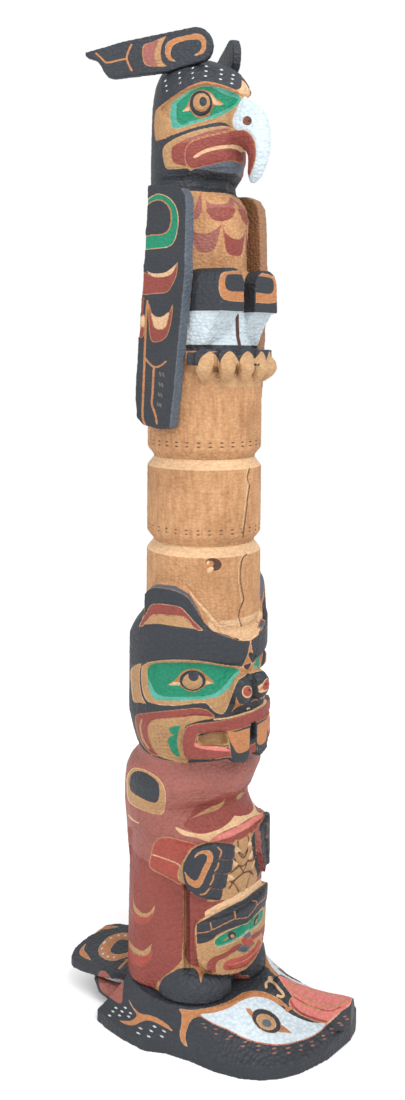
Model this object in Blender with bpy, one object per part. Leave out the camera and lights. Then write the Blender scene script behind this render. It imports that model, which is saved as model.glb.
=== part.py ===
"""Carved and painted cedar totem pole: one carved log, two wings, two horns and a carved base.

The pole's axis is Z and its figures look along -Y. Bearings are degrees from that
front toward the figures' right hand side, which is -X. Sizes are in metres.
"""
import math

import bmesh
import bpy
from mathutils import Vector

# Log and its levels
COLUMN_RADIUS = 0.138
LOG_TOP = 2.284
SEAT_HEIGHT = 0.100
COLUMN_SHIFT = Vector((0.0020, -0.0050, 0.0))
TURN_SEGMENTS = 32
BODY_SEGMENTS = 40
PANEL_STEP = 9.0

# Chased rings round the column
RING_LEVELS = (1.3315, 1.131)
RING_HALF_WIDTH = 0.022
RING_DEPTH = 0.018

# Eagle
SOCKET_DEPTH = 0.011
LIP_HEIGHT = 0.004
EAGLE_EYE = (49.0, 2.160, 0.104)
CLAW_BEARINGS = (9.0, 27.0, 46.0)

# Wings: boards leaning outward toward their lower ends
WING_THICKNESS = 0.030
WING_LEVEL = 1.69
WING_OFFSET = 0.1225
WING_LEAN = math.radians(2.0)

# Horns: boards on edge, splayed from straight back
HORN_THICKNESS = 0.022
HORN_LENGTH = 0.310
HORN_SPLAY = math.radians(34.0)

# Beaver
BEAVER_RADIUS = 0.164
HEAD_SET_BACK = 0.013
BEAVER_EYE = (53.0, 0.836)
FACE_ARC_RADIUS = 0.207
FACE_FRONT = 0.156

# Base
BASE_TURN = math.radians(21.0)
RIM_HEIGHT = 0.028
RIDGE_HEIGHT = 0.110
BASE_FRONT = 0.378
LEFT_SIDE_SHARE = 0.7
SEAT_RADIUS = 0.170
TAIL_TOP = 0.090
TAIL_THICKNESS = 0.023

FIT_GAP = 0.0004
FLAT_ANGLE = math.radians(1.0)


def at(bearing, radius, level):
    """World point from a bearing in degrees, a radius and a height."""
    angle = math.radians(bearing)
    return Vector((-radius * math.sin(angle), -radius * math.cos(angle), level))


def spread(value, keys, values):
    """Value read off a line of keys, straight between neighbours."""
    if value <= keys[0]:
        return values[0]
    for low, high, first, last in zip(keys, keys[1:], values, values[1:]):
        if value <= high:
            share = (value - low) / (high - low)
            return first + share * (last - first)
    return values[-1]


def material(name, colour, roughness):
    shade = bpy.data.materials.new(name)
    shade.use_nodes = True
    surface = shade.node_tree.nodes["Principled BSDF"]
    surface.inputs["Base Color"].default_value = (*colour, 1.0)
    surface.inputs["Roughness"].default_value = roughness
    surface.inputs["Metallic"].default_value = 0.0
    return shade


def solid(name, mesh_edit):
    """Object from a bmesh, with its faces turned outward."""
    bmesh.ops.recalc_face_normals(mesh_edit, faces=mesh_edit.faces)
    if mesh_edit.calc_volume(signed=True) < 0:
        bmesh.ops.reverse_faces(mesh_edit, faces=mesh_edit.faces)
    mesh = bpy.data.meshes.new(name)
    mesh_edit.to_mesh(mesh)
    mesh_edit.free()
    made = bpy.data.objects.new(name, mesh)
    bpy.context.scene.collection.objects.link(made)
    return made


def loft(name, rings):
    """Closed body through rings that all have the same number of points."""
    form = bmesh.new()
    loops = [[form.verts.new(point) for point in ring] for ring in rings]
    count = len(loops[0])
    for lower, upper in zip(loops, loops[1:]):
        for i in range(count):
            j = (i + 1) % count
            form.faces.new((lower[i], lower[j], upper[j], upper[i]))
    form.faces.new(loops[0][::-1])
    form.faces.new(loops[-1])
    bmesh.ops.triangulate(form, faces=form.faces)
    return solid(name, form)


def panel(name, outline, inner, outer, grow=1.0, arc_centre=0.0, both=True):
    """Curved panel on the log: outline in bearings and heights, between two radii.

    A radius is a number or a function of bearing and height. The inner side is the
    outline grown about its middle, which slopes the edges.
    arc_centre moves the arc's axis forward; both adds the mirrored panel.
    """
    middle_bearing = sum(p[0] for p in outline) / len(outline)
    middle_level = sum(p[1] for p in outline) / len(outline)
    bearings = sorted({p[0] for p in outline})
    cuts = set(bearings[1:-1])
    for low, high in zip(bearings, bearings[1:]):
        parts = max(1, math.ceil((high - low) / PANEL_STEP))
        cuts.update(low + (high - low) * k / parts for k in range(1, parts))
    made = []
    for side in ((1.0, -1.0) if both else (1.0,)):
        form = bmesh.new()
        form.faces.new([form.verts.new((p[0], p[1], 0.0)) for p in outline])
        for cut in sorted(cuts):
            geometry = form.verts[:] + form.edges[:] + form.faces[:]
            bmesh.ops.bisect_plane(form, geom=geometry, dist=1e-5,
                                   plane_co=(cut, 0.0, 0.0), plane_no=(1.0, 0.0, 0.0))
        bmesh.ops.triangulate(form, faces=form.faces)
        front = form.faces[:]
        raised = bmesh.ops.extrude_face_region(form, geom=front)
        back = [item for item in raised["geom"] if isinstance(item, bmesh.types.BMVert)]
        hidden = set(back)
        for vertex in form.verts:
            reach = outer
            bearing, level = vertex.co.x, vertex.co.y
            if vertex in hidden:
                reach = inner
                bearing = middle_bearing + grow * (bearing - middle_bearing)
                level = middle_level + grow * (level - middle_level)
            radius = reach(bearing, level) if callable(reach) else reach
            vertex.co = at(side * bearing, radius, level) - Vector((0.0, arc_centre, 0.0))
        made.append(solid(name, form))
    return made


def lobe(name, centre, radii, bearing=0.0, tilt=0.0):
    """Rounded swelling: radii across, outward and upward, turned to a bearing."""
    form = bmesh.new()
    bmesh.ops.create_uvsphere(form, u_segments=12, v_segments=8, radius=1.0)
    made = solid(name, form)
    for vertex in made.data.vertices:
        vertex.co = (vertex.co.x * radii[0], vertex.co.y * radii[1], vertex.co.z * radii[2])
    made.location = centre
    made.rotation_euler = (tilt, 0.0, -math.radians(bearing))
    return made


def slab(name, outline, place, half_thickness):
    """Flat board from a plane outline; place maps outline points and depth to the world."""
    rings = [[place(p[0], p[1], depth) for p in outline]
             for depth in (-half_thickness, half_thickness)]
    return loft(name, rings)


def combine(target, tools, operation):
    """Joins or cuts the target with each tool in turn.

    The many near-touching facets of carved panels defeat the exact solver, so the
    manifold solver is used; every tool is closed.
    """
    for tool in tools:
        step = target.modifiers.new(operation.title(), "BOOLEAN")
        step.operation = operation
        step.solver = "MANIFOLD"
        step.object = tool
        tool.hide_render = True
        tool.display_type = "WIRE"
    graph = bpy.context.evaluated_depsgraph_get()
    shaped = bpy.data.meshes.new_from_object(target.evaluated_get(graph))
    target.modifiers.clear()
    target.data = shaped
    for tool in tools:
        bpy.data.objects.remove(tool)


def tidy_up(target, shade):
    """Merges flat neighbours, shades the form smooth and gives it its material."""
    form = bmesh.new()
    form.from_mesh(target.data)
    bmesh.ops.dissolve_limit(form, angle_limit=FLAT_ANGLE, verts=form.verts, edges=form.edges,
                             use_dissolve_boundaries=False)
    bmesh.ops.triangulate(form, faces=form.faces)
    form.to_mesh(target.data)
    form.free()
    target.data.materials.clear()
    target.data.materials.append(shade)
    target.data.shade_smooth()
    target.data.set_sharp_from_angle(angle=math.radians(40.0))


EAGLE_BEARINGS = (0, 20, 43, 70, 90, 110, 137, 180)
EAGLE_ROWS = (
    (1.560, (.128, .128, .128, .133, .137, .137, .135, .134)),
    (1.620, (.112, .111, .110, .122, .135, .135, .133, .132)),
    (1.750, (.106, .105, .104, .118, .130, .131, .131, .132)),
    (1.800, (.104, .103, .102, .116, .128, .130, .131, .132)),
    (1.860, (.108, .107, .106, .116, .126, .129, .131, .132)),
    (1.900, (.110, .109, .108, .115, .125, .128, .131, .131)),
    (1.930, (.104, .102, .100, .112, .123, .127, .130, .131)),
    (1.955, (.080, .078, .077, .101, .118, .125, .129, .129)),
    (1.968, (.062, .059, .057, .088, .112, .124, .130, .130)),
    (1.985, (.066, .062, .059, .086, .108, .122, .131, .130)),
    (2.000, (.100, .090, .080, .100, .115, .125, .131, .130)),
    (2.030, (.118, .106, .095, .106, .117, .126, .131, .130)),
    (2.100, (.120, .109, .099, .108, .118, .126, .130, .130)),
    (2.170, (.134, .119, .107, .113, .118, .124, .128, .128)),
    (2.195, (.138, .121, .109, .113, .118, .123, .124, .124)),
    (2.215, (.128, .113, .101, .108, .115, .120, .120, .120)),
    (2.240, (.106, .095, .085, .092, .100, .106, .113, .113)),
    (2.256, (.082, .074, .067, .075, .085, .091, .104, .104)),
    (2.272, (.048, .044, .042, .048, .058, .066, .086, .086)),
    (LOG_TOP, (.018, .018, .018, .022, .030, .038, .050, .050)),
)


def eagle_radius(offset):
    """Function giving the eagle's radius at a bearing and height, moved by an offset."""
    levels = [row[0] for row in EAGLE_ROWS]

    def radius(bearing, level):
        turned = min(abs(bearing), 360.0 - abs(bearing))
        around = [spread(turned, EAGLE_BEARINGS, row[1]) for row in EAGLE_ROWS]
        return spread(level, levels, around) + offset
    return radius


def log_core():
    """Log from the beaver's head up to the eagle's crown, as one stack of rings."""
    rows = [(0.630, 0.137), (0.645, 0.143), (0.668, 0.151), (0.690, 0.157),
            (0.722, BEAVER_RADIUS), (0.899, BEAVER_RADIUS), (0.915, 0.157), (0.9345, 0.146)]
    column = [0.965]
    radii = [COLUMN_RADIUS]
    for level in reversed(RING_LEVELS):
        column += [level - RING_HALF_WIDTH, level, level + RING_HALF_WIDTH]
        radii += [COLUMN_RADIUS, COLUMN_RADIUS - RING_DEPTH, COLUMN_RADIUS]
    column.append(1.530)
    radii.append(COLUMN_RADIUS)
    step = 360.0 / TURN_SEGMENTS
    bearings = [step * (i + 0.5) for i in range(TURN_SEGMENTS)]
    rings = [[at(bearing, radius - HEAD_SET_BACK * math.cos(math.radians(bearing)), level)
              for bearing in bearings] for level, radius in rows]
    rings += [[at(bearing, radius, level) + COLUMN_SHIFT for bearing in bearings]
              for level, radius in zip(column, radii)]
    surface = eagle_radius(0.0)
    rings += [[at(bearing, surface(bearing, level), level) for bearing in bearings]
              for level, row in EAGLE_ROWS]
    return loft("carved_pole", rings)


def eagle_cuts():
    socket = [(114, 2.152), (90, 2.174), (64, 2.196), (45.5, 2.206), (28, 2.199), (14, 2.187),
              (5, 2.181), (5, 2.142), (21, 2.136), (37, 2.118), (58, 2.106), (80, 2.101),
              (96, 2.100), (100, 2.128)]
    return panel("socket", socket, eagle_radius(-SOCKET_DEPTH), 0.20, grow=0.96)


def eagle_head():
    parts = []
    half = [(101, 2.038), (99, 2.059), (85, 2.073), (64, 2.090), (38, 2.104), (14, 2.106)]
    low = [(8, 2.014), (30, 2.012), (58, 2.006), (77, 2.006), (94, 2.009)]
    mouth = (half + [(-b, z) for b, z in half[::-1]] + [(-b, z) for b, z in low[::-1]] + low)
    parts += panel("mouth", mouth, eagle_radius(-0.030), eagle_radius(LIP_HEIGHT), both=False)
    sections = (((0.080, 2.192), (0.080, 2.045), 0.041), ((0.122, 2.183), (0.107, 2.048), 0.040),
                ((0.154, 2.166), (0.123, 2.052), 0.037), ((0.180, 2.142), (0.135, 2.052), 0.033),
                ((0.195, 2.108), (0.142, 2.044), 0.029), ((0.200, 2.076), (0.146, 2.034), 0.026),
                ((0.199, 2.044), (0.146, 2.020), 0.023), ((0.191, 2.012), (0.142, 2.004), 0.018),
                ((0.177, 1.985), (0.142, 1.989), 0.012), ((0.160, 1.971), (0.146, 1.974), 0.004))
    rings = []
    for top, under, half_width in sections:
        ring = []
        for turn in (math.radians(30.0 * k) for k in range(12)):
            share = 0.5 + 0.5 * math.cos(turn)
            ring.append((half_width * math.copysign(abs(math.sin(turn)) ** 0.8, math.sin(turn)),
                         -(under[0] + (top[0] - under[0]) * share),
                         under[1] + (top[1] - under[1]) * share))
        rings.append(ring)
    parts.append(loft("beak", rings))
    for side in (1.0, -1.0):
        bearing, level, radius = EAGLE_EYE
        parts.append(lobe("eye", at(side * bearing, radius - 0.015, level),
                          (0.029, 0.017, 0.027), side * bearing))
        parts.append(lobe("nostril", (-side * 0.024, -0.158, 2.112), (0.010, 0.018, 0.014)))
    return parts


def eagle_legs():
    """Knees, shins, toes and claws."""
    parts = []
    for side in (1.0, -1.0):
        knee = []
        for forward, outside in ((0.050, 0.121), (0.092, 0.121), (0.150, 0.101)):
            knee.append([(-side * r, -forward, z) for r, z in (
                (0.019, 1.672), (0.019, 1.742), (0.030, 1.762), (0.050, 1.774),
                (outside - 0.030, 1.774), (outside - 0.008, 1.762), (outside, 1.738),
                (outside, 1.672))])
        parts.append(loft("knee", knee))
        shin = []
        for level, forward, inside, outside in ((1.574, 0.086, 0.021, 0.094),
                                                (1.635, 0.111, 0.023, 0.096),
                                                (1.678, 0.140, 0.024, 0.097)):
            shin.append([(-side * r, -f, level) for f, r in (
                (0.050, inside), (forward, inside), (forward, outside),
                (forward - 0.045, 0.119), (0.050, 0.119))])
        parts.append(loft("shin", shin))
    parts += panel("toe_band", [(0.6, 1.549), (61, 1.549), (61, 1.580), (0.6, 1.580)], 0.11, 0.155)
    for bearing in CLAW_BEARINGS:
        toe = [(bearing - 8.3, 1.552), (bearing + 8.3, 1.552), (bearing + 8.0, 1.575),
               (bearing + 5.0, 1.587), (bearing - 5.0, 1.587), (bearing - 8.0, 1.575)]
        parts += panel("toe", toe, 0.122, 0.167)
        for side in (1.0, -1.0):
            claw = []
            for level, radius, size in ((1.5705, 0.157, 0.011), (1.558, 0.160, 0.020),
                                        (1.540, 0.161, 0.0215), (1.524, 0.156, 0.015),
                                        (1.511, 0.150, 0.005)):
                centre = at(side * bearing, radius, level)
                claw.append([centre + Vector((size * math.cos(t), size * math.sin(t), 0.0))
                             for t in (2.0 * math.pi * (k + 0.5) / 9 for k in range(9))])
            parts.append(loft("claw", claw))
    return parts


def wing_outline(margin=0.0):
    """Wing outline in forward distance and height along the board, grown by a margin."""
    points = [(-0.050, 1.973), (0.034, 1.967), (0.060, 1.956), (0.075, 1.935), (0.079, 1.905),
              (0.081, 1.755), (0.0694, 1.620), (0.0585, 1.490), (0.0487, 1.405), (0.010, 1.402),
              (-0.040, 1.408), (-0.062, 1.425), (-0.0705, 1.470), (-0.068, 1.560),
              (-0.061, 1.700), (-0.054, 1.820)]
    grown = []
    for f, z in points:
        away = Vector((f - 0.005, (z - WING_LEVEL) * 0.25))
        away = away.normalized() * margin
        grown.append((f + away.x, z + (margin if z > WING_LEVEL + 0.25 else 0.0)
                      - (margin if z < WING_LEVEL - 0.25 else 0.0)))
    return grown


def wing_place(side):
    def place(forward, level, depth):
        along = level - WING_LEVEL
        reach = WING_OFFSET + WING_THICKNESS / 2 + depth - along * math.sin(WING_LEAN)
        return Vector((-side * reach, -forward, level))
    return place


def horn_outline():
    """Horn outline: distance along the board from its round front end, and height."""
    round_end = [(0.262 + 0.044 * math.cos(t), 0.0165 + 0.0445 * math.sin(t))
                 for t in (math.radians(angle) for angle in range(-54, 91, 18))]
    upper = [(0.205, 0.052), (0.100, 0.035), (-0.004, 0.010)]
    notch = [(-0.002, -0.001), (0.0234, -0.0095), (0.0323, -0.0195), (0.0413, -0.0370),
             (0.0519, -0.0500)]
    under = [(0.066, -0.0545), (0.135, -0.0490), (0.202, -0.0426)]
    return [(along, LOG_TOP + rise) for along, rise in round_end + upper + notch + under]


def horn_place(side):
    """Maps board distance and height to the world; the board stands on the crown."""
    back = Vector((-side * math.sin(HORN_SPLAY), math.cos(HORN_SPLAY), 0.0))
    across = Vector((math.cos(HORN_SPLAY) * -side, -math.sin(HORN_SPLAY), 0.0))
    front_end = Vector((-side * 0.040, -0.070, 0.0))

    def place(along, level, depth):
        point = front_end + back * (HORN_LENGTH - along) + across * depth
        return Vector((point.x, point.y, level))
    return place


def beaver_radius(offset):
    """Function giving the beaver head's radius, moved by an offset; the head sits back."""
    def radius(bearing, level):
        return BEAVER_RADIUS + offset - HEAD_SET_BACK * math.cos(math.radians(bearing))
    return radius


def beaver_head():
    parts = []
    brow_top = [(119, 0.909), (106, 0.9285), (82, 0.957), (50, 0.955), (35, 0.944), (20, 0.930),
                (4, 0.917)]
    brow_low = [(2, 0.880), (13, 0.864), (30, 0.872), (46, 0.881), (66, 0.880), (84, 0.871),
                (102, 0.853), (119, 0.836)]
    brow = ([(0, 0.915)] + brow_top[::-1] + brow_low[::-1] + [(0, 0.885)])
    parts += panel("brow", brow, 0.140, beaver_radius(0.008))
    ear = [(108, 0.935), (99, 0.973), (99, 1.017), (91, 1.038), (71, 1.041), (58, 1.026),
           (52, 1.002), (45, 0.967), (35, 0.940)]
    parts += panel("ear", ear, 0.125, beaver_radius(0.004), grow=1.14)
    lips = [(-61, 0.700), (-60, 0.7356), (-50, 0.743), (-30, 0.747), (0, 0.752), (30, 0.747),
            (50, 0.743), (60, 0.7356), (61, 0.700), (57, 0.662), (40, 0.658), (0, 0.652),
            (-40, 0.658), (-57, 0.662)]
    parts += panel("lips", lips, 0.135, beaver_radius(0.015), both=False)
    for side in (1.0, -1.0):
        bearing, level = BEAVER_EYE
        parts.append(lobe("eye", at(side * bearing, 0.144, level),
                          (0.029, 0.018, 0.025), side * bearing))
        parts.append(lobe("nostril", at(side * 11.5, 0.153, 0.804),
                          (0.031, 0.034, 0.036), side * 11.5))
    return parts


def beaver_cuts():
    socket = [(96, 0.843), (96, 0.797), (86, 0.780), (60, 0.788), (42, 0.797), (30, 0.804),
              (23, 0.822), (14, 0.846), (13, 0.864), (30, 0.872), (46, 0.881), (66, 0.880),
              (84, 0.871), (96, 0.859)]
    return panel("socket", socket, beaver_radius(-0.008), 0.20, grow=0.96)


def teeth_and_mouth(pole):
    opening = [(-49, 0.7045), (-45, 0.719), (-20, 0.721), (0, 0.722), (20, 0.721), (45, 0.719),
               (49, 0.7045), (45, 0.692), (0, 0.684), (-45, 0.692)]
    combine(pole, panel("opening", opening, beaver_radius(-0.008), 0.20, both=False),
            "DIFFERENCE")
    tooth = [(27, 0.726), (23, 0.672), (21.6, 0.646), (9, 0.638), (4.5, 0.6512), (3, 0.726)]
    combine(pole, panel("tooth", tooth, 0.130, beaver_radius(0.021)), "UNION")


BODY_BEARINGS = (0, 20, 40, 52, 60, 75, 92, 110, 140, 180)
BODY_ROWS = (
    (0.655, (.120, .120, .122, .128, .134, .140, .142, .143, .143, .143)),
    (0.620, (.127, .128, .131, .137, .143, .149, .151, .151, .150, .149)),
    (0.600, (.134, .134, .138, .146, .156, .166, .170, .170, .169, .168)),
    (0.580, (.136, .136, .139, .148, .159, .171, .178, .179, .178, .176)),
    (0.548, (.124, .124, .127, .133, .143, .160, .175, .181, .181, .178)),
    (0.526, (.103, .103, .104, .109, .120, .144, .171, .181, .181, .178)),
    (0.510, (.100, .100, .101, .106, .117, .141, .170, .181, .181, .178)),
    (0.490, (.114, .114, .117, .120, .125, .141, .168, .179, .180, .177)),
    (0.466, (.137, .138, .141, .141, .141, .145, .166, .175, .178, .175)),
    (0.440, (.146, .146, .146, .144, .141, .142, .160, .173, .176, .174)),
    (0.400, (.146, .146, .150, .146, .141, .142, .158, .171, .173, .171)),
    (0.360, (.145, .145, .152, .148, .142, .144, .157, .168, .168, .167)),
    (0.300, (.142, .142, .153, .152, .148, .151, .155, .169, .169, .167)),
    (0.200, (.130, .130, .144, .148, .144, .150, .150, .170, .170, .168)),
    (0.130, (.112, .112, .118, .130, .136, .148, .149, .171, .171, .169)),
    (SEAT_HEIGHT, (.110, .110, .114, .126, .134, .146, .148, .171, .171, .169)),
)


def beaver_body():
    rings = []
    for level, radii in BODY_ROWS:
        ring = []
        for i in range(BODY_SEGMENTS):
            bearing = 360.0 * (i + 0.5) / BODY_SEGMENTS
            ring.append(at(bearing, spread(min(bearing, 360.0 - bearing),
                                           BODY_BEARINGS, radii), level))
        rings.append(ring)
    return loft("beaver_body", rings[::-1])


def arm_radius(bearing, level):
    """Radius of the forearm's outer side, which runs outward toward the wrist."""
    return spread(abs(bearing), (46, 62, 85, 97), (0.166, 0.152, 0.154, 0.166))


def beaver_limbs(pole):
    below_arm = [(126, 0.440), (112, 0.460), (90, 0.482), (64, 0.504), (58, 0.515), (58, 0.380),
                 (126, 0.350)]
    combine(pole, panel("crease", below_arm, 0.166, 0.22), "DIFFERENCE")
    recess = [(61, 0.370), (55.5, 0.370), (54.5, 0.135), (60, 0.135)]
    combine(pole, panel("recess", recess, 0.128, 0.22), "DIFFERENCE")
    parts = []
    forearm = [(97, 0.400), (95, 0.448), (85, 0.467), (64, 0.456), (48, 0.462), (46, 0.366),
               (60, 0.366), (89, 0.385)]
    parts += panel("forearm", forearm, 0.120, arm_radius, grow=1.05)
    palm = [(59.6, 0.387), (59, 0.420), (55, 0.445), (49, 0.459), (36, 0.468), (27, 0.462),
            (27, 0.425), (30, 0.390), (34, 0.362), (40, 0.342), (45, 0.343), (54, 0.361)]
    parts += panel("palm", palm, 0.115, 0.171, grow=1.04)
    fingers = (((32, 0.464), (17, 0.4535), (16, 0.440), (17, 0.4255), (32, 0.427)),
               ((33, 0.4235), (18, 0.4215), (20, 0.3925), (34, 0.394)),
               ((35, 0.3905), (23.2, 0.3887), (24.8, 0.3655), (37, 0.364)),
               ((39, 0.3605), (27, 0.362), (30, 0.337), (42, 0.3425)))
    for finger in fingers:
        parts += panel("finger", list(finger), 0.125, 0.163)
    combine(pole, parts, "UNION")


def human_face(pole):
    """Small face on the tail, on an arc wider than the log."""
    def bearing(across):
        return math.degrees(math.asin(across / FACE_ARC_RADIUS))
    shape = [(0.127, 0.288), (0.131, 0.258), (0.131, 0.232), (0.126, 0.206), (0.110, 0.180),
             (0.078, 0.158), (0.036, 0.147), (0.0, 0.143)]
    outline = ([(bearing(r), z) for r, z in shape]
               + [(-bearing(r), z) for r, z in shape[-2::-1]])
    centre = FACE_FRONT - FACE_ARC_RADIUS
    plate = panel("face", outline, 0.150, FACE_ARC_RADIUS - 0.004, arc_centre=centre, both=False)
    hollow = 0.252
    band = ([(bearing(0.128), 0.2905), (bearing(0.132), 0.262), (0.0, hollow),
             (-bearing(0.132), 0.262), (-bearing(0.128), 0.2905)])
    plate += panel("forehead", band, 0.160, FACE_ARC_RADIUS, arc_centre=centre, both=False)
    nose = [[(0.008, 0.140, 0.262), (-0.008, 0.140, 0.262), (-0.007, 0.153, 0.262),
             (0.007, 0.153, 0.262)],
            [(0.014, 0.130, 0.222), (-0.014, 0.130, 0.222), (-0.010, 0.163, 0.222),
             (0.010, 0.163, 0.222)],
            [(0.026, 0.130, 0.204), (-0.026, 0.130, 0.204), (-0.014, 0.168, 0.206),
             (0.014, 0.168, 0.206)],
            [(0.022, 0.130, 0.196), (-0.022, 0.130, 0.196), (-0.012, 0.158, 0.198),
             (0.012, 0.158, 0.198)]]
    rings = [[Vector((x, -f, z)) for x, f, z in ring] for ring in nose]
    plate.append(loft("nose", rings))
    lips = ([(bearing(r), z) for r, z in ((0.062, 0.181), (0.030, 0.190), (0.0, 0.187))]
            + [(-bearing(0.030), 0.190), (-bearing(0.062), 0.181), (-bearing(0.045), 0.168),
               (0.0, 0.158), (bearing(0.045), 0.168)])
    plate += panel("lips", lips, 0.160, FACE_ARC_RADIUS + 0.002, arc_centre=centre, both=False)
    combine(pole, plate, "UNION")


def feet(pole):
    """Rounded toes that come out from under the legs."""
    toe_line = [(-0.020, 0.120), (0.000, 0.146), (0.035, 0.157), (0.070, 0.149), (0.100, 0.132),
                (0.127, 0.104), (0.140, 0.068), (0.138, 0.034), (0.118, 0.012), (0.070, 0.006),
                (0.010, 0.010), (-0.020, 0.040)]
    parts = []
    for side in (1.0, -1.0):
        rings = []
        for level, share in ((SEAT_HEIGHT, 0.985), (0.108, 1.0), (0.126, 1.0), (0.140, 0.93),
                             (0.1533, 0.81), (0.1617, 0.61)):
            rings.append([(-side * (0.085 + (r - 0.085) * share), -(0.03 + (f - 0.03) * share),
                           level) for f, r in toe_line])
        parts.append(loft("foot", rings))
    combine(pole, parts, "UNION")


def base_rim():
    """Plan outline of the base, forward and to the right of the pole's axis."""
    blunt_front = [(BASE_FRONT - 0.022, -0.104), (BASE_FRONT - 0.005, -0.075),
                   (BASE_FRONT, -0.045), (BASE_FRONT - 0.004, -0.010),
                   (BASE_FRONT - 0.018, 0.029), (BASE_FRONT - 0.036, 0.071)]
    right = [(0.318, 0.108), (0.298, 0.136), (0.266, 0.166), (0.226, 0.189), (0.180, 0.2015),
             (0.120, 0.2035), (0.060, 0.194)]
    rear = [(0.000, 0.1915), (-0.050, 0.2025), (-0.109, 0.188), (-0.157, 0.171),
            (-0.197, 0.150), (-0.189, 0.133), (-0.174, 0.117), (-0.151, 0.108),
            (-0.164, 0.070), (-0.176, 0.030), (-0.178, 0.000)]
    left = [(0.060, -0.190), (0.120, -0.184), (0.160, -0.166), (0.204, -0.136),
            (0.245, -0.120), (0.300, -0.114)]
    return blunt_front + right + rear + [(f, -r) for f, r in rear[-2::-1]] + left


def base_height(forward, across, share):
    """Height of the base's upper side; share runs from the seat's edge out to the rim."""
    rim = RIM_HEIGHT + 0.012 * max(0.0, min(1.0, (forward - 0.8 * BASE_FRONT) / 0.08))
    seat = (SEAT_HEIGHT - FIT_GAP - rim) * (1.0 - share) ** 1.15
    ridge = spread(forward, (0.10, 0.17, 0.20, 0.24, 0.30, BASE_FRONT),
                   (0.0, 0.104, RIDGE_HEIGHT, 0.094, 0.084, 0.086))
    half_width = spread(forward, (0.1, 0.226, 0.314, 0.352, BASE_FRONT),
                        (0.2, 0.18, 0.12, 0.085, 0.03))
    if across < 0.0:
        half_width *= LEFT_SIDE_SHARE
    fall = max(0.0, 1.0 - abs(across) / half_width)
    hill = max(0.0, ridge - rim) * fall ** 1.5 * (1.0 if share < 0.999 else 0.0)
    return rim + max(seat, hill)


def base_piece():
    rim = base_rim()
    turn = Vector((math.sin(BASE_TURN), -math.cos(BASE_TURN), 0.0))
    right = Vector((-math.cos(BASE_TURN), -math.sin(BASE_TURN), 0.0))

    def place(forward, across, level):
        return turn * forward + right * across + Vector((0.0, 0.0, level))

    rings = [[place(f, r, 0.0) for f, r in rim]]
    shares = (1.0, 0.86, 0.70, 0.54, 0.38, 0.22, 0.08)
    for share in shares:
        ring = []
        for f, r in rim:
            distance = math.hypot(f, r)
            reach = SEAT_RADIUS + max(0.0, distance - SEAT_RADIUS) * share
            x, y = f * reach / distance, r * reach / distance
            ring.append(place(x, y, base_height(x, y, share)))
        rings.append(ring)
    seat = SEAT_HEIGHT - FIT_GAP
    rings.append([place(f * SEAT_RADIUS / math.hypot(f, r), r * SEAT_RADIUS / math.hypot(f, r), seat)
                  for f, r in rim])
    base = loft("base", rings)
    parts = []
    nose = []
    for forward, half_width, rise in ((0.192, 0.012, 0.010), (0.205, 0.024, 0.018),
                                      (0.240, 0.036, 0.004), (0.280, 0.044, -0.004),
                                      (0.320, 0.050, -0.006), (0.350, 0.047, -0.003),
                                      (0.370, 0.036, 0.003), (0.382, 0.018, 0.009)):
        low = 0.05
        level = SEAT_HEIGHT + rise
        nose.append([place(forward, half_width, low), place(forward, half_width, level - 0.024),
                     place(forward, half_width * 0.62, level - 0.006), place(forward, 0.0, level),
                     place(forward, -half_width * 0.62, level - 0.006),
                     place(forward, -half_width, level - 0.024), place(forward, -half_width, low)])
    parts.append(loft("nose", nose))
    tail = [(-0.306, 0.080), (-0.314, 0.050), (-0.311, 0.010), (-0.300, -0.032), (-0.289, -0.072),
            (-0.262, -0.092), (-0.215, -0.098), (-0.150, -0.084), (-0.060, -0.070),
            (-0.060, 0.070), (-0.150, 0.086), (-0.215, 0.099), (-0.268, 0.096), (-0.295, 0.090)]
    rings = [[place(f, r, level) for f, r in tail]
             for level in (TAIL_TOP - TAIL_THICKNESS, TAIL_TOP)]
    parts.append(loft("tail", rings))
    nub = []
    for forward, across, level, size in ((-0.150, 0.070, 0.024, 0.025), (-0.190, 0.077, 0.027, 0.022),
                                         (-0.222, 0.080, 0.038, 0.017),
                                         (-0.237, 0.079, 0.056, 0.010)):
        nub.append([place(forward, across + size * math.cos(t), level + size * math.sin(t))
                    for t in (2.0 * math.pi * k / 10 for k in range(10))])
    parts.append(loft("nub", nub))
    combine(base, parts, "UNION")
    return base


def make_pole():
    pole = log_core()
    combine(pole, eagle_cuts() + beaver_cuts(), "DIFFERENCE")
    combine(pole, eagle_head() + eagle_legs() + beaver_head() + [beaver_body()], "UNION")
    teeth_and_mouth(pole)
    beaver_limbs(pole)
    human_face(pole)
    feet(pole)
    clearances = []
    for side in (1.0, -1.0):
        place = wing_place(side)
        clearances.append(slab("wing_room", wing_outline(FIT_GAP), place,
                               WING_THICKNESS / 2 + FIT_GAP))
        clearances.append(slab("horn_room", horn_outline(), horn_place(side),
                               HORN_THICKNESS / 2 + FIT_GAP))
    combine(pole, clearances, "DIFFERENCE")
    return pole


def main():
    for thing in list(bpy.data.objects):
        bpy.data.objects.remove(thing)
    cedar = material("painted_cedar", (0.33, 0.17, 0.08), 0.6)
    slate = material("slate_black_paint", (0.05, 0.055, 0.065), 0.5)
    tidy_up(make_pole(), cedar)
    for side, hand in ((1.0, "right"), (-1.0, "left")):
        wing = slab("wing_" + hand, wing_outline(), wing_place(side), WING_THICKNESS / 2)
        tidy_up(wing, slate)
        horn = slab("horn_" + hand, horn_outline(), horn_place(side), HORN_THICKNESS / 2)
        tidy_up(horn, slate)
    tidy_up(base_piece(), slate)


if __name__ == "__main__":
    main()
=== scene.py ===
"""Dresses the carved totem pole: adzed wood, carved outlines, paint, floor, light and camera."""
import math

import bpy
import numpy as np
from mathutils import Matrix, Vector


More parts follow.
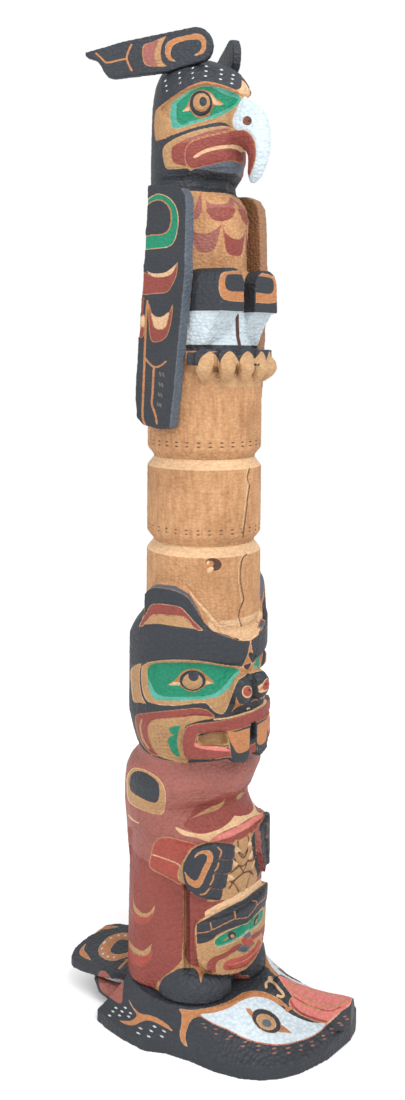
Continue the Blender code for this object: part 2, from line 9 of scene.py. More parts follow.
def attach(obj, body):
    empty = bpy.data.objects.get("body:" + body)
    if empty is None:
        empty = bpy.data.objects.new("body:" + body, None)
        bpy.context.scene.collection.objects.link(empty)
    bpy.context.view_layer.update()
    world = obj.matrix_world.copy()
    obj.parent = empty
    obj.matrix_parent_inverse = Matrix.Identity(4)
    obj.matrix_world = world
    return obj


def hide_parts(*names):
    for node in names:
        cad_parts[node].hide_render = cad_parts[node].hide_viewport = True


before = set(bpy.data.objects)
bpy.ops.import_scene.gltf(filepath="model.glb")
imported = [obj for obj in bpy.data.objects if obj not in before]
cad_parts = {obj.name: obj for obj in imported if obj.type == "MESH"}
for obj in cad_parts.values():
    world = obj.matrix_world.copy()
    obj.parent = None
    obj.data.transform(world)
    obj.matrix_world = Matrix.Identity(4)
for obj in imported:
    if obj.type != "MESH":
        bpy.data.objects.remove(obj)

bl_info = {
    "name": "Totem pole dressing",
    "version": (1, 0, 0),
    "blender": (4, 5, 0),
    "location": "3D View > Sidebar > Totem pole",
    "description": "Carves and paints the totem pole's pieces and sets up the floor, light and camera",
    "category": "Object",
}

# The photograph's camera, in picture points and metres.
PICTURE_WIDTH = 405.0
PICTURE_HEIGHT = 1100.0
FOCAL_POINTS = 1010.0
AXIS_POINT = (203.0, 350.0)
CAMERA_DISTANCE = 2.45
CAMERA_HEIGHT = 1.585
CAMERA_BEARING = math.radians(47.0)
CAMERA_ROLL = math.radians(0.45)
SENSOR = 36.0

# The pole: levels and bearings of the carved object, in metres and degrees.
PIECE_SEAMS = (0.645, 1.131, 1.3315, 1.968)
NECK_LEVEL = 1.957
BEAVER_TOP = 0.957
CHIN_LEVEL = 0.638
LEG_LEVEL = 0.40
KNEE_LEVELS = (1.674, 1.790)
SHIN_LEVELS = (1.597, 1.674)
SHIN_SIDES = (0.006, 0.130)
INSTEP_LEVELS = (1.583, 1.597)
COVE_LEVELS = (0.931, 0.964)
TOE_LEVELS = (1.5495, 1.600)
CLAW_LEVELS = (1.500, 1.5495)
BASE_TURN = math.radians(21.0)
COVE_BEARING = 40.0
TOE_BEARING = 66.0
RIGHT_SIDE = (-1.0, 0.0)
BEYOND_ENDS = 9.0

# Distances from the pole's axis at which carved parts stand out.
CORE_RADIUS = 0.05
COLUMN_RADIUS = 0.138
KNEE_FRONT = 0.045
KNEE_RADIUS = 0.114
TOE_RADIUS = 0.1405
CLAW_RADIUS = 0.128
EAR_RADIUS = 0.149
EAR_RIM_RADIUS = 0.145
TEETH_RADIUS = 0.17
PAW_RADIUS = 0.145
NOSE_RADIUS = 0.146

# The two rings of the column, the bevel below each that is painted cream as painted light on its
# upward-facing facet, and the chisel notches above each, painted dark as painted shade.
RING_LEVELS = PIECE_SEAMS[1:3]
RING_BEVEL = 0.0225
NOTCH_COUNT = 32
NOTCH_RISES = (0.031, 0.040)
NOTCH_HALF_WIDTH = 0.0052
NOTCH_HALF_HEIGHT = 0.0018
NOTCH_DEPTH = 0.0009
NOTCH_SOFTNESS = 0.6

# Distances on the surface are in picture points, and never count beyond FAR.
FAR = 9.0
POINTS_PER_METRE = 412.0
POINTS_PER_DEGREE = 0.5

# Where painted sides end, as a bearing or a share of facing, and how steeply.
SEEN_LIMIT = 127.0
FACING_MARGIN = 0.04
FACING_STEEPNESS = 40.0
OUTER_FACING = 0.3
BASE_FACING = -0.5
SIDE_STEEPNESS = 6.0
EDGE_FACING = 0.6
EDGE_STEEPNESS = 8.0
BARE_FACING = 0.4
BARE_STEEPNESS = 4.0

# Carving: smoothing of the solids, grooves beside the paint, and adze marks.
MILLIMETRE = 0.001
SMOOTHING = 0.5
LOG_ROUNDS = 3
BOARD_ROUNDS = 2
GROOVE_HALF = 0.9
MARK_STRAY = 0.5
MARK_REACH = 0.8
STRAY_ACROSS = (127.1, 311.7)
STRAY_UP = (269.5, 183.3)
STRAY_SCALE = 43758.5453
BASE_MARK_SHARE = 0.7
BASE_FOOT = 0.01

# Grain, patches and specks of the wood and paint, and how far each one tells.
GRAIN_SCALE = (90.0, 90.0, 20.0)
PATCH_SCALE = 9.0
SPECK_SCALE = 170.0
GRAIN_START = 0.38
GRAIN_CONTRAST = 2.4
PATCH_START = 0.45
PATCH_CONTRAST = 1.2
SPECK_SHADE = 0.22
WOOD_ROUGHNESS = 0.78
PAINT_SHEEN = 0.22
PATCH_ROUGHNESS = 0.2
FINE_RELIEF = 0.25
RELIEF_DISTANCE = 0.003
SPECULAR = 0.35

# Floor and light.
FLOOR_SHADE = 0.99
FLOOR_ROUGHNESS = 0.9
LIGHT_SIZE = 3.0
LIGHT_AIM = (0.0, 0.0, 1.2)
MAIN_LIGHT_PLACE = (-1.2, -3.2, 4.6)
FILL_LIGHT_PLACE = (-4.0, 0.5, 2.6)
FILL_SHARE = 0.25

# Paint colours, as seen in even daylight (0 to 255). Some also stand in places for light and shade:
# cream for painted light on the rings' upward bevels, pink for a painted highlight on the beaver's
# lower lip, grey for painted shade under the eagle's beak, dark for painted shade in the notches, the
# cracks and the gap between the shins, and the brown for painted shade on the left wing's inner face.
PAINTS = {
    "black": (50, 54, 61),
    "grey": (92, 101, 113),
    "red": (150, 70, 60),
    "scarlet": (176, 78, 64),
    "rose": (165, 98, 88),
    "pink": (228, 130, 122),
    "green": (8, 142, 106),
    "mint": (84, 178, 158),
    "ochre": (190, 146, 100),
    "cream": (234, 192, 148),
    "orange": (196, 130, 82),
    "white": (218, 232, 240),
    "dark": (88, 54, 36),
    "buff": (208, 164, 118),
    # Painted shade for the inner face of the left wing.
    "painted_shade_brown": (168, 122, 88),
}
CEDAR = (212, 162, 116)
CEDAR_DEEP = (178, 122, 80)

# How many points draw a painted ellipse.
RING_POINTS = 20

# Close-ups of the photograph in which the outlines were read: corner and scale.
CLOSE_UPS = {
    "crown": (70.0, 0.0, 6.817),
    "eagle": (140.0, 50.0, 9.8),
    "wing": (130.0, 180.0, 6.533),
    "column": (130.0, 380.0, 6.533),
    "beaver": (120.0, 575.0, 7.85),
    "body": (110.0, 740.0, 8.711),
    "legs": (80.0, 860.0, 5.407),
    "face": (170.0, 820.0, 9.227),
    "fin": (60.0, 900.0, 8.711),
    "nose": (220.0, 940.0, 10.453),
}


def area(view, colour, points, edge=None, lift=0.0, bevel=2.0, groove=0.7, outside=0.0,
         seen=False):
    """A painted form with a closed smooth outline; a repeated point makes a corner."""
    return {"kind": "area", "view": view, "colour": colour, "points": points, "edge": edge,
            "lift": lift, "bevel": bevel, "groove": groove, "outside": outside, "seen": seen}


def ring(view, colour, centre, radii, angle=0.0, **more):
    """A painted ellipse."""
    turn = math.radians(angle)
    points = []
    for i in range(RING_POINTS):
        a = 2.0 * math.pi * i / RING_POINTS
        x = radii[0] * math.cos(a)
        y = radii[1] * math.sin(a)
        points.append((centre[0] + x * math.cos(turn) - y * math.sin(turn),
                       centre[1] + x * math.sin(turn) + y * math.cos(turn)))
    return area(view, colour, points, **more)


def line(view, colour, points, width, groove=0.6, outside=0.0, seen=False):
    """A painted stroke of one width."""
    return {"kind": "line", "view": view, "colour": colour, "points": points, "width": width,
            "edge": None, "lift": 0.0, "bevel": 1.0, "groove": groove, "outside": outside,
            "seen": seen}


def dashes(view, colour, points, radii, angle=0.0, groove=0.5, outside=0.0, seen=False):
    """Small chisel marks, each an ellipse."""
    return {"kind": "dashes", "view": view, "colour": colour, "points": points,
            "radii": radii, "angle": angle, "edge": None, "lift": 0.0, "bevel": 1.0,
            "groove": groove, "outside": outside, "seen": seen}


def grid(x0, x1, columns, y0, y1, rows, shear=0.0):
    """Points of a regular patch of chisel marks."""
    return [(x0 + (x1 - x0) * i / max(columns - 1, 1) + shear * j,
             y0 + (y1 - y0) * j / max(rows - 1, 1))
            for j in range(rows) for i in range(columns)]


EAGLE_FORMS = [
    area("eagle", "ochre", [(148, 620), (160, 588), (220, 535), (300, 478), (400, 410),
                            (500, 350), (600, 314), (680, 312), (800, 340), (900, 377),
                            (960, 402), (1045, 455), (1005, 475), (960, 560), (915, 640),
                            (900, 720), (925, 775), (925, 775), (870, 735), (830, 708),
                            (760, 705), (640, 728), (500, 765), (400, 800), (300, 835),
                            (165, 885), (148, 850), (138, 740)], edge=("orange", 9)),
    line("eagle", "orange", [(300, 484), (400, 416), (500, 358), (600, 322), (680, 320),
                             (800, 348), (900, 386), (1000, 440)], 20),
    line("eagle", "orange", [(1000, 478), (955, 560), (912, 640), (901, 700), (915, 760)], 12),
    area("eagle", "mint", [(300, 560), (312, 515), (360, 480), (480, 402), (560, 368),
                           (640, 352), (720, 357), (860, 396), (940, 430), (1000, 465),
                           (985, 500), (930, 560), (850, 610), (760, 655), (640, 690),
                           (500, 730), (400, 760), (345, 768), (310, 752), (295, 690),
                           (290, 620)], edge=("cream", 4), lift=-1.5, bevel=2.5),
    area("eagle", "green", [(350, 640), (352, 525), (352, 525), (420, 465), (520, 395),
                            (620, 362), (700, 364), (770, 400), (850, 440), (955, 470),
                            (920, 530), (840, 580), (740, 628), (620, 668), (500, 695),
                            (430, 730), (385, 722), (356, 690)], lift=-1.0, bevel=3.0),
    area("eagle", "orange", [(395, 612), (395, 612), (452, 552), (476, 505), (515, 425),
                             (600, 388), (690, 412), (750, 478), (830, 525), (830, 525),
                             (760, 537), (722, 562), (690, 625), (620, 665), (545, 650),
                             (498, 600), (470, 588), (430, 600)], lift=2.5, bevel=3.0),
    area("eagle", "cream", [(397, 611), (397, 611), (450, 568), (482, 560), (480, 590),
                            (430, 599)], groove=0.0),
    area("eagle", "cream", [(690, 430), (730, 470), (760, 510), (826, 533), (826, 533),
                            (748, 541), (722, 520)], groove=0.0),
    ring("eagle", "black", (598, 521), (113, 128), lift=2.0, bevel=5.0),
    ring("eagle", "orange", (602, 513), (79, 86), edge=("cream", 4)),
    ring("eagle", "ochre", (604, 513), (66, 72), groove=0.0),
    ring("eagle", "black", (619, 506), (37, 46)),
    area("eagle", "ochre", [(222, 1020), (232, 950), (300, 892), (400, 842), (520, 798),
                            (640, 768), (740, 752), (830, 745), (890, 765), (950, 792),
                            (940, 900), (540, 1165), (470, 1157), (400, 1160), (300, 1168),
                            (258, 1160), (236, 1110)], edge=("cream", 5)),
    area("eagle", "red", [(305, 1020), (310, 960), (345, 925), (440, 885), (600, 845),
                          (760, 805), (900, 788), (1010, 788), (1070, 820), (1110, 880),
                          (1130, 960), (1127, 1060), (1102, 1150), (1072, 1220),
                          (1043, 1262), (1043, 1262), (1028, 1240), (1022, 1195),
                          (1000, 1150), (975, 1113), (930, 1090), (850, 1088), (760, 1108),
                          (640, 1135), (530, 1158), (450, 1138), (360, 1118), (318, 1090)],
         edge=("orange", 6), lift=1.0),
    area("eagle", "rose", [(390, 900), (520, 848), (700, 790), (830, 765), (900, 778),
                           (900, 778), (760, 812), (600, 852), (480, 900)], groove=0.3),
    line("eagle", "orange", [(905, 797), (760, 824), (600, 864), (500, 905), (452, 960),
                             (440, 1040), (452, 1110), (490, 1152)], 9),
    area("eagle", "cream", [(512, 1055), (512, 1055), (560, 1015), (640, 972), (740, 944),
                            (840, 930), (930, 930), (992, 952), (1032, 1000), (1054, 1060),
                            (1057, 1120), (1045, 1225), (1045, 1225), (1038, 1120),
                            (1022, 1060), (992, 1008), (950, 980), (880, 962), (800, 970),
                            (700, 988), (610, 1020), (550, 1055)], lift=-1.5, bevel=1.0),
    # Grey wedge on the underside of the mouth: painted shade.
    area("eagle", "grey", [(540, 1163), (540, 1163), (640, 1137), (760, 1110), (850, 1090),
                           (930, 1093), (985, 1125), (1004, 1160), (920, 1205), (845, 1205),
                           (700, 1182)], groove=0.3),
    area("eagle", "white", [(1000, 473), (1150, 430), (1450, 560), (1500, 900), (1400, 1250),
                            (1150, 1380), (1035, 1330), (1046, 1262), (1046, 1262),
                            (1076, 1222), (1106, 1150), (1132, 1060), (1135, 960),
                            (1114, 878), (1074, 816), (1012, 784), (960, 788), (925, 775),
                            (905, 735), (903, 690), (918, 625), (955, 555)],
         edge=("cream", 5)),
    ring("eagle", "dark", (1048, 692), (46, 46), lift=-2.5, bevel=3.0),
    ring("eagle", "red", (1043, 694), (34, 32), groove=0.0),
    ring("eagle", "black", (1062, 692), (14, 20), groove=0.0),
    area("eagle", "cream", [(1000, 225), (1000, 225), (1026, 300), (1038, 380), (1060, 432),
                            (1005, 436), (940, 390), (940, 390), (985, 374), (1000, 320)],
         edge=("orange", 4)),
    dashes("eagle", "white", [(245, 300), (255, 350), (260, 400), (385, 222), (388, 272),
                              (392, 322), (518, 172), (515, 222), (518, 272)], (14, 6), -38),
    dashes("eagle", "white", [(652, 155), (648, 205), (642, 252), (800, 190), (798, 235),
                              (790, 283), (915, 242), (908, 282), (900, 325)], (16, 7), 12),
    dashes("eagle", "orange", grid(180, 262, 3, 590, 860, 7, shear=-2), (12, 5), -50),
]

# Outlines of the eagle's claws.
CLAWS = [
    [(495, 1135), (530, 1120), (565, 1152), (582, 1205), (565, 1262), (530, 1300), (488, 1320),
     (488, 1320), (462, 1280), (442, 1225), (456, 1170)],
    [(600, 1165), (650, 1118), (692, 1150), (714, 1205), (702, 1260), (668, 1308), (638, 1328),
     (638, 1328), (612, 1290), (588, 1230)],
    [(722, 1170), (770, 1118), (812, 1160), (824, 1212), (806, 1272), (768, 1320), (768, 1320),
     (742, 1305), (718, 1250)],
    [(838, 1150), (872, 1116), (912, 1146), (980, 1170), (990, 1230), (940, 1300), (880, 1315),
     (826, 1312), (820, 1240)],
]

CHEST_FORMS = [
    area("wing", "rose", [(462, 68), (462, 68), (444, 120), (424, 180), (400, 260),
                          (440, 250), (466, 212), (470, 150)], edge=("orange", 4), lift=-1.0),
    area("wing", "rose", [(487, 92), (487, 92), (505, 138), (535, 154), (600, 156),
                          (645, 138), (660, 72), (660, 72), (678, 100), (684, 180),
                          (676, 232), (655, 258), (600, 272), (548, 264), (518, 236),
                          (503, 185)], edge=("orange", 4), lift=-1.0),
    area("wing", "rose", [(603, 276), (603, 276), (590, 335), (565, 430), (530, 470),
                          (480, 476), (432, 456), (405, 380), (410, 340), (470, 350),
                          (525, 342), (570, 312)], edge=("orange", 4), lift=-1.0),
    area("wing", "rose", [(603, 276), (603, 276), (625, 338), (662, 372), (700, 382),
                          (748, 368), (748, 368), (742, 430), (722, 480), (690, 498),
                          (650, 490), (626, 450), (612, 380)], edge=("orange", 4),
         lift=-1.0),
    area("wing", "red", [(508, 182), (680, 180), (676, 232), (655, 256), (600, 270),
                         (548, 262), (520, 234)], groove=0.2),
    area("wing", "red", [(620, 350), (662, 376), (700, 386), (745, 374), (740, 430),
                         (720, 478), (690, 494), (652, 486), (628, 448)], groove=0.2),
    area("wing", "pink", [(735, 140), (735, 140), (755, 182), (778, 190), (778, 250),
                          (756, 292), (745, 250)], edge=("orange", 4)),
    dashes("wing", "dark", grid(430, 570, 8, 365, 450, 5, shear=3), (7, 2.5), 35, groove=0.3),
    dashes("wing", "dark", grid(525, 665, 8, 195, 250, 4, shear=3), (7, 2.5), 35, groove=0.3),
    # Knees and claws.
    area("wing", "orange", [(760, 590), (660, 596), (604, 608), (585, 640), (580, 690),
                            (588, 740), (616, 778), (680, 790), (760, 794), (760, 794),
                            (760, 590)], edge=("cream", 4), lift=-0.8, bevel=2.0),
    area("wing", "black", [(760, 616), (662, 614), (632, 628), (624, 670), (632, 706),
                           (662, 726), (760, 729), (760, 729), (760, 616)],
         lift=1.2, bevel=2.0),
    *[area("wing", "buff", points, outside=CLAW_RADIUS, edge=("dark", 2)) for points in CLAWS],
]

COLUMN_FORMS = [
    # Cracks: each dark line is painted shade inside a crack, with a cream line beside it.
    line("column", "dark", [(788, 575), (772, 640), (786, 690), (776, 760), (766, 850),
                            (752, 960), (742, 1035)], 7, groove=2.5, seen=True),
    line("column", "cream", [(770, 580), (758, 650), (768, 700), (758, 780), (748, 860),
                             (735, 980)], 7, groove=0.0, seen=True),
    line("column", "dark", [(768, 1135), (736, 1180), (726, 1290), (738, 1380), (748, 1440),
                            (722, 1500), (716, 1560), (735, 1620), (742, 1700)], 8,
         groove=2.5, seen=True),
    line("column", "cream", [(750, 1140), (718, 1190), (710, 1290), (718, 1380), (732, 1450)],
         6, groove=0.0, seen=True),
    ring("column", "dark", (545, 1205), (55, 42), 10, lift=-1.5, bevel=4.0, seen=True),
    ring("column", "orange", (520, 1205), (30, 22), -20, groove=0.5, seen=True),
    ring("column", "cream", (525, 1240), (26, 15), -30, lift=1.0, seen=True),
    ring("column", "cream", (510, 1195), (10, 14), 20, groove=0.0, seen=True),
]

BEAVER_FORMS = [
    area("beaver", "cream", [(530, 95), (600, 185), (660, 250), (740, 340), (800, 395),
                             (870, 412), (940, 412), (1000, 395), (1040, 350), (1070, 290),
                             (1088, 200), (1200, 200), (1200, 420), (1090, 490), (1020, 514),
                             (920, 512), (850, 490), (760, 420), (690, 330), (620, 240),
                             (560, 160)], edge=("orange", 5)),
    area("beaver", "black", [(100, 420), (180, 330), (188, 150), (214, 108), (240, 73),
                             (280, 40), (340, 36), (420, 52), (512, 78), (566, 128),
                             (610, 195), (662, 262), (730, 345), (810, 425), (870, 478),
                             (930, 512), (600, 560), (140, 520)], outside=EAR_RADIUS),
    area("beaver", "grey", [(214, 112), (240, 75), (280, 42), (340, 38), (420, 54), (510, 80),
                            (562, 130), (604, 195), (656, 262), (725, 345), (805, 425),
                            (870, 480), (925, 512), (925, 512), (860, 492), (790, 462),
                            (700, 400), (636, 325), (582, 240), (545, 190), (500, 150),
                            (400, 115), (280, 96)], outside=EAR_RIM_RADIUS, edge=("orange", 3)),
    area("beaver", "red", [(150, 395), (210, 290), (258, 230), (400, 240), (470, 255),
                           (512, 290), (580, 365), (648, 432), (590, 424), (540, 362),
                           (500, 332), (440, 320), (300, 312), (248, 318), (215, 350),
                           (180, 395)], edge=("cream", 5), outside=EAR_RADIUS),
    area("beaver", "ochre", [(184, 386), (215, 352), (252, 320), (440, 326), (500, 340),
                             (560, 395), (610, 426), (610, 426), (400, 397), (300, 382)],
         outside=EAR_RADIUS),
    area("beaver", "orange", [(1025, 518), (1025, 518), (1037, 600), (1100, 655), (1100, 700),
                              (1000, 700), (962, 722), (962, 722), (992, 660), (1012, 600)],
         edge=("cream", 4)),
    area("beaver", "ochre", [(84, 750), (108, 717), (162, 700), (162, 700), (150, 760),
                             (150, 860), (168, 955), (200, 1010), (200, 1010), (150, 1000),
                             (104, 988), (86, 860)], edge=("cream", 5)),
    dashes("beaver", "orange", grid(104, 140, 2, 760, 960, 6, shear=4), (9, 4), -50),
    area("beaver", "ochre", [(168, 745), (188, 706), (280, 681), (440, 671), (640, 681),
                             (800, 707), (950, 722), (980, 735), (1000, 760), (985, 785),
                             (932, 820), (895, 890), (870, 960), (842, 1040), (810, 1087),
                             (768, 1085), (730, 1060), (700, 1025), (660, 1003), (560, 1010),
                             (450, 1024), (330, 1020), (232, 1000), (190, 950), (170, 860)],
         edge=("cream", 6)),
    area("beaver", "mint", [(214, 765), (226, 725), (270, 697), (440, 684), (640, 693),
                            (800, 716), (940, 740), (948, 768), (905, 800), (875, 860),
                            (825, 920), (745, 965), (560, 986), (380, 986), (270, 975),
                            (226, 900)], edge=("orange", 5), lift=-1.0),
    area("beaver", "green", [(216, 790), (228, 722), (280, 694), (440, 687), (640, 694),
                             (800, 717), (935, 742), (880, 790), (830, 850), (770, 910),
                             (700, 940), (560, 955), (380, 958), (300, 940), (258, 895),
                             (240, 850)], groove=0.2, lift=-1.0, bevel=3.0),
    area("beaver", "orange", [(358, 868), (358, 868), (428, 828), (470, 780), (500, 752),
                              (570, 732), (640, 750), (682, 790), (748, 849), (748, 849),
                              (690, 864), (650, 892), (580, 922), (520, 908), (470, 874),
                              (420, 870)], lift=2.5, bevel=3.0),
    area("beaver", "cream", [(362, 867), (362, 867), (430, 840), (468, 846), (462, 868),
                             (420, 868)], groove=0.0),
    area("beaver", "cream", [(680, 826), (700, 836), (744, 850), (744, 850), (688, 862),
                             (672, 850)], groove=0.0),
    ring("beaver", "black", (571, 829), (103, 82), lift=2.0, bevel=5.0),
    ring("beaver", "ochre", (570, 834), (73, 60), edge=("cream", 4)),
    ring("beaver", "black", (578, 796), (40, 36)),
    area("beaver", "red", [(122, 1105), (200, 1086), (300, 1075), (500, 1055), (600, 1048),
                           (680, 1060), (742, 1112), (700, 1118), (600, 1108), (480, 1120),
                           (300, 1133), (244, 1152), (216, 1200), (226, 1290), (262, 1370),
                           (300, 1420), (245, 1402), (188, 1350), (148, 1280), (124, 1190)],
         edge=("orange", 5)),
    line("beaver", "ochre", [(168, 1135), (156, 1200), (176, 1290), (222, 1362)], 13),
    area("beaver", "ochre", [(240, 1152), (320, 1132), (480, 1120), (600, 1106), (740, 1118),
                             (640, 1138), (560, 1160), (505, 1195), (494, 1300), (500, 1420),
                             (540, 1460), (480, 1468), (400, 1452), (300, 1418), (252, 1340),
                             (222, 1235)], edge=("orange", 4)),
    dashes("beaver", "dark", grid(262, 350, 4, 1190, 1370, 7, shear=4), (6, 4), 0, groove=0.4),
    area("beaver", "green", [(375, 1205), (375, 1205), (420, 1186), (482, 1182), (482, 1182),
                             (458, 1240), (450, 1300), (456, 1370), (478, 1440), (478, 1440),
                             (440, 1425), (395, 1380), (370, 1300), (388, 1270), (415, 1260),
                             (390, 1238)], edge=("orange", 5)),
    area("beaver", "red", [(498, 1250), (530, 1192), (620, 1166), (760, 1150), (900, 1120),
                           (1020, 1085), (1200, 1030), (1250, 1050), (1160, 1120),
                           (1100, 1160), (1000, 1196), (860, 1226), (700, 1242), (622, 1246),
                           (600, 1275), (594, 1310), (640, 1332), (740, 1342), (860, 1350),
                           (1200, 1330), (1200, 1420), (845, 1430), (760, 1446), (600, 1446),
                           (520, 1436), (496, 1380), (490, 1300)], edge=("orange", 5),
         lift=0.8),
    line("beaver", "cream", [(740, 1132), (860, 1116), (1000, 1075), (1190, 1020)], 12),
    area("beaver", "ochre", [(606, 1292), (622, 1268), (690, 1252), (850, 1246), (880, 1330),
                             (700, 1326), (632, 1326)], edge=("orange", 5)),
    # Pink band along the lower lip: painted highlight.
    area("beaver", "pink", [(582, 1318), (640, 1342), (760, 1348), (850, 1368), (850, 1384),
                            (700, 1372), (600, 1352)], groove=0.0),
    area("beaver", "ochre", [(788, 1240), (830, 1340), (850, 1480), (882, 1492), (868, 1370),
                             (846, 1280), (826, 1244)], outside=TEETH_RADIUS),
    area("beaver", "black", [(812, 1238), (850, 1290), (868, 1380), (878, 1500), (960, 1500),
                             (1024, 1470), (1044, 1400), (1052, 1165), (1025, 1178),
                             (900, 1225)], outside=TEETH_RADIUS, edge=("orange", 3)),
    area("beaver", "orange", [(842, 1244), (920, 1232), (1024, 1200), (1024, 1200),
                              (1022, 1340), (985, 1386), (925, 1396), (892, 1350)],
         outside=TEETH_RADIUS),
    line("beaver", "orange", [(960, 748), (1030, 770), (1076, 840), (1086, 930), (1064, 1040)],
         26),
    area("beaver", "orange", [(912, 955), (912, 955), (934, 1008), (978, 1020), (978, 1020),
                              (920, 1040), (876, 1078), (876, 1078), (900, 1028)]),
    line("beaver", "cream", [(1052, 950), (1040, 1010), (1000, 1052)], 11),
    ring("beaver", "cream", (1002, 918), (44, 50), lift=1.0),
    ring("beaver", "scarlet", (1002, 914), (36, 40), groove=0.4),
    ring("beaver", "dark", (1018, 905), (13, 11), lift=-1.5),
]

# Cross-cuts of the beaver's scaled tail.
TAIL_CUTS = [
    [(1120, 880), (1140, 1010), (1230, 1060), (1300, 1180)],
    [(1180, 850), (1200, 960), (1290, 1010), (1380, 1060)],
    [(1060, 1160), (1140, 1100), (1210, 1100), (1290, 980), (1380, 900)],
    [(1040, 1300), (1110, 1210), (1190, 1150), (1300, 1080)],
    [(1090, 1040), (1140, 1110), (1200, 1200), (1220, 1300)],
    [(1100, 960), (1190, 1010), (1250, 930), (1320, 830)],
    [(1020, 1220), (1090, 1260), (1130, 1330)],
    [(1240, 1060), (1300, 1120), (1390, 1090)],
]

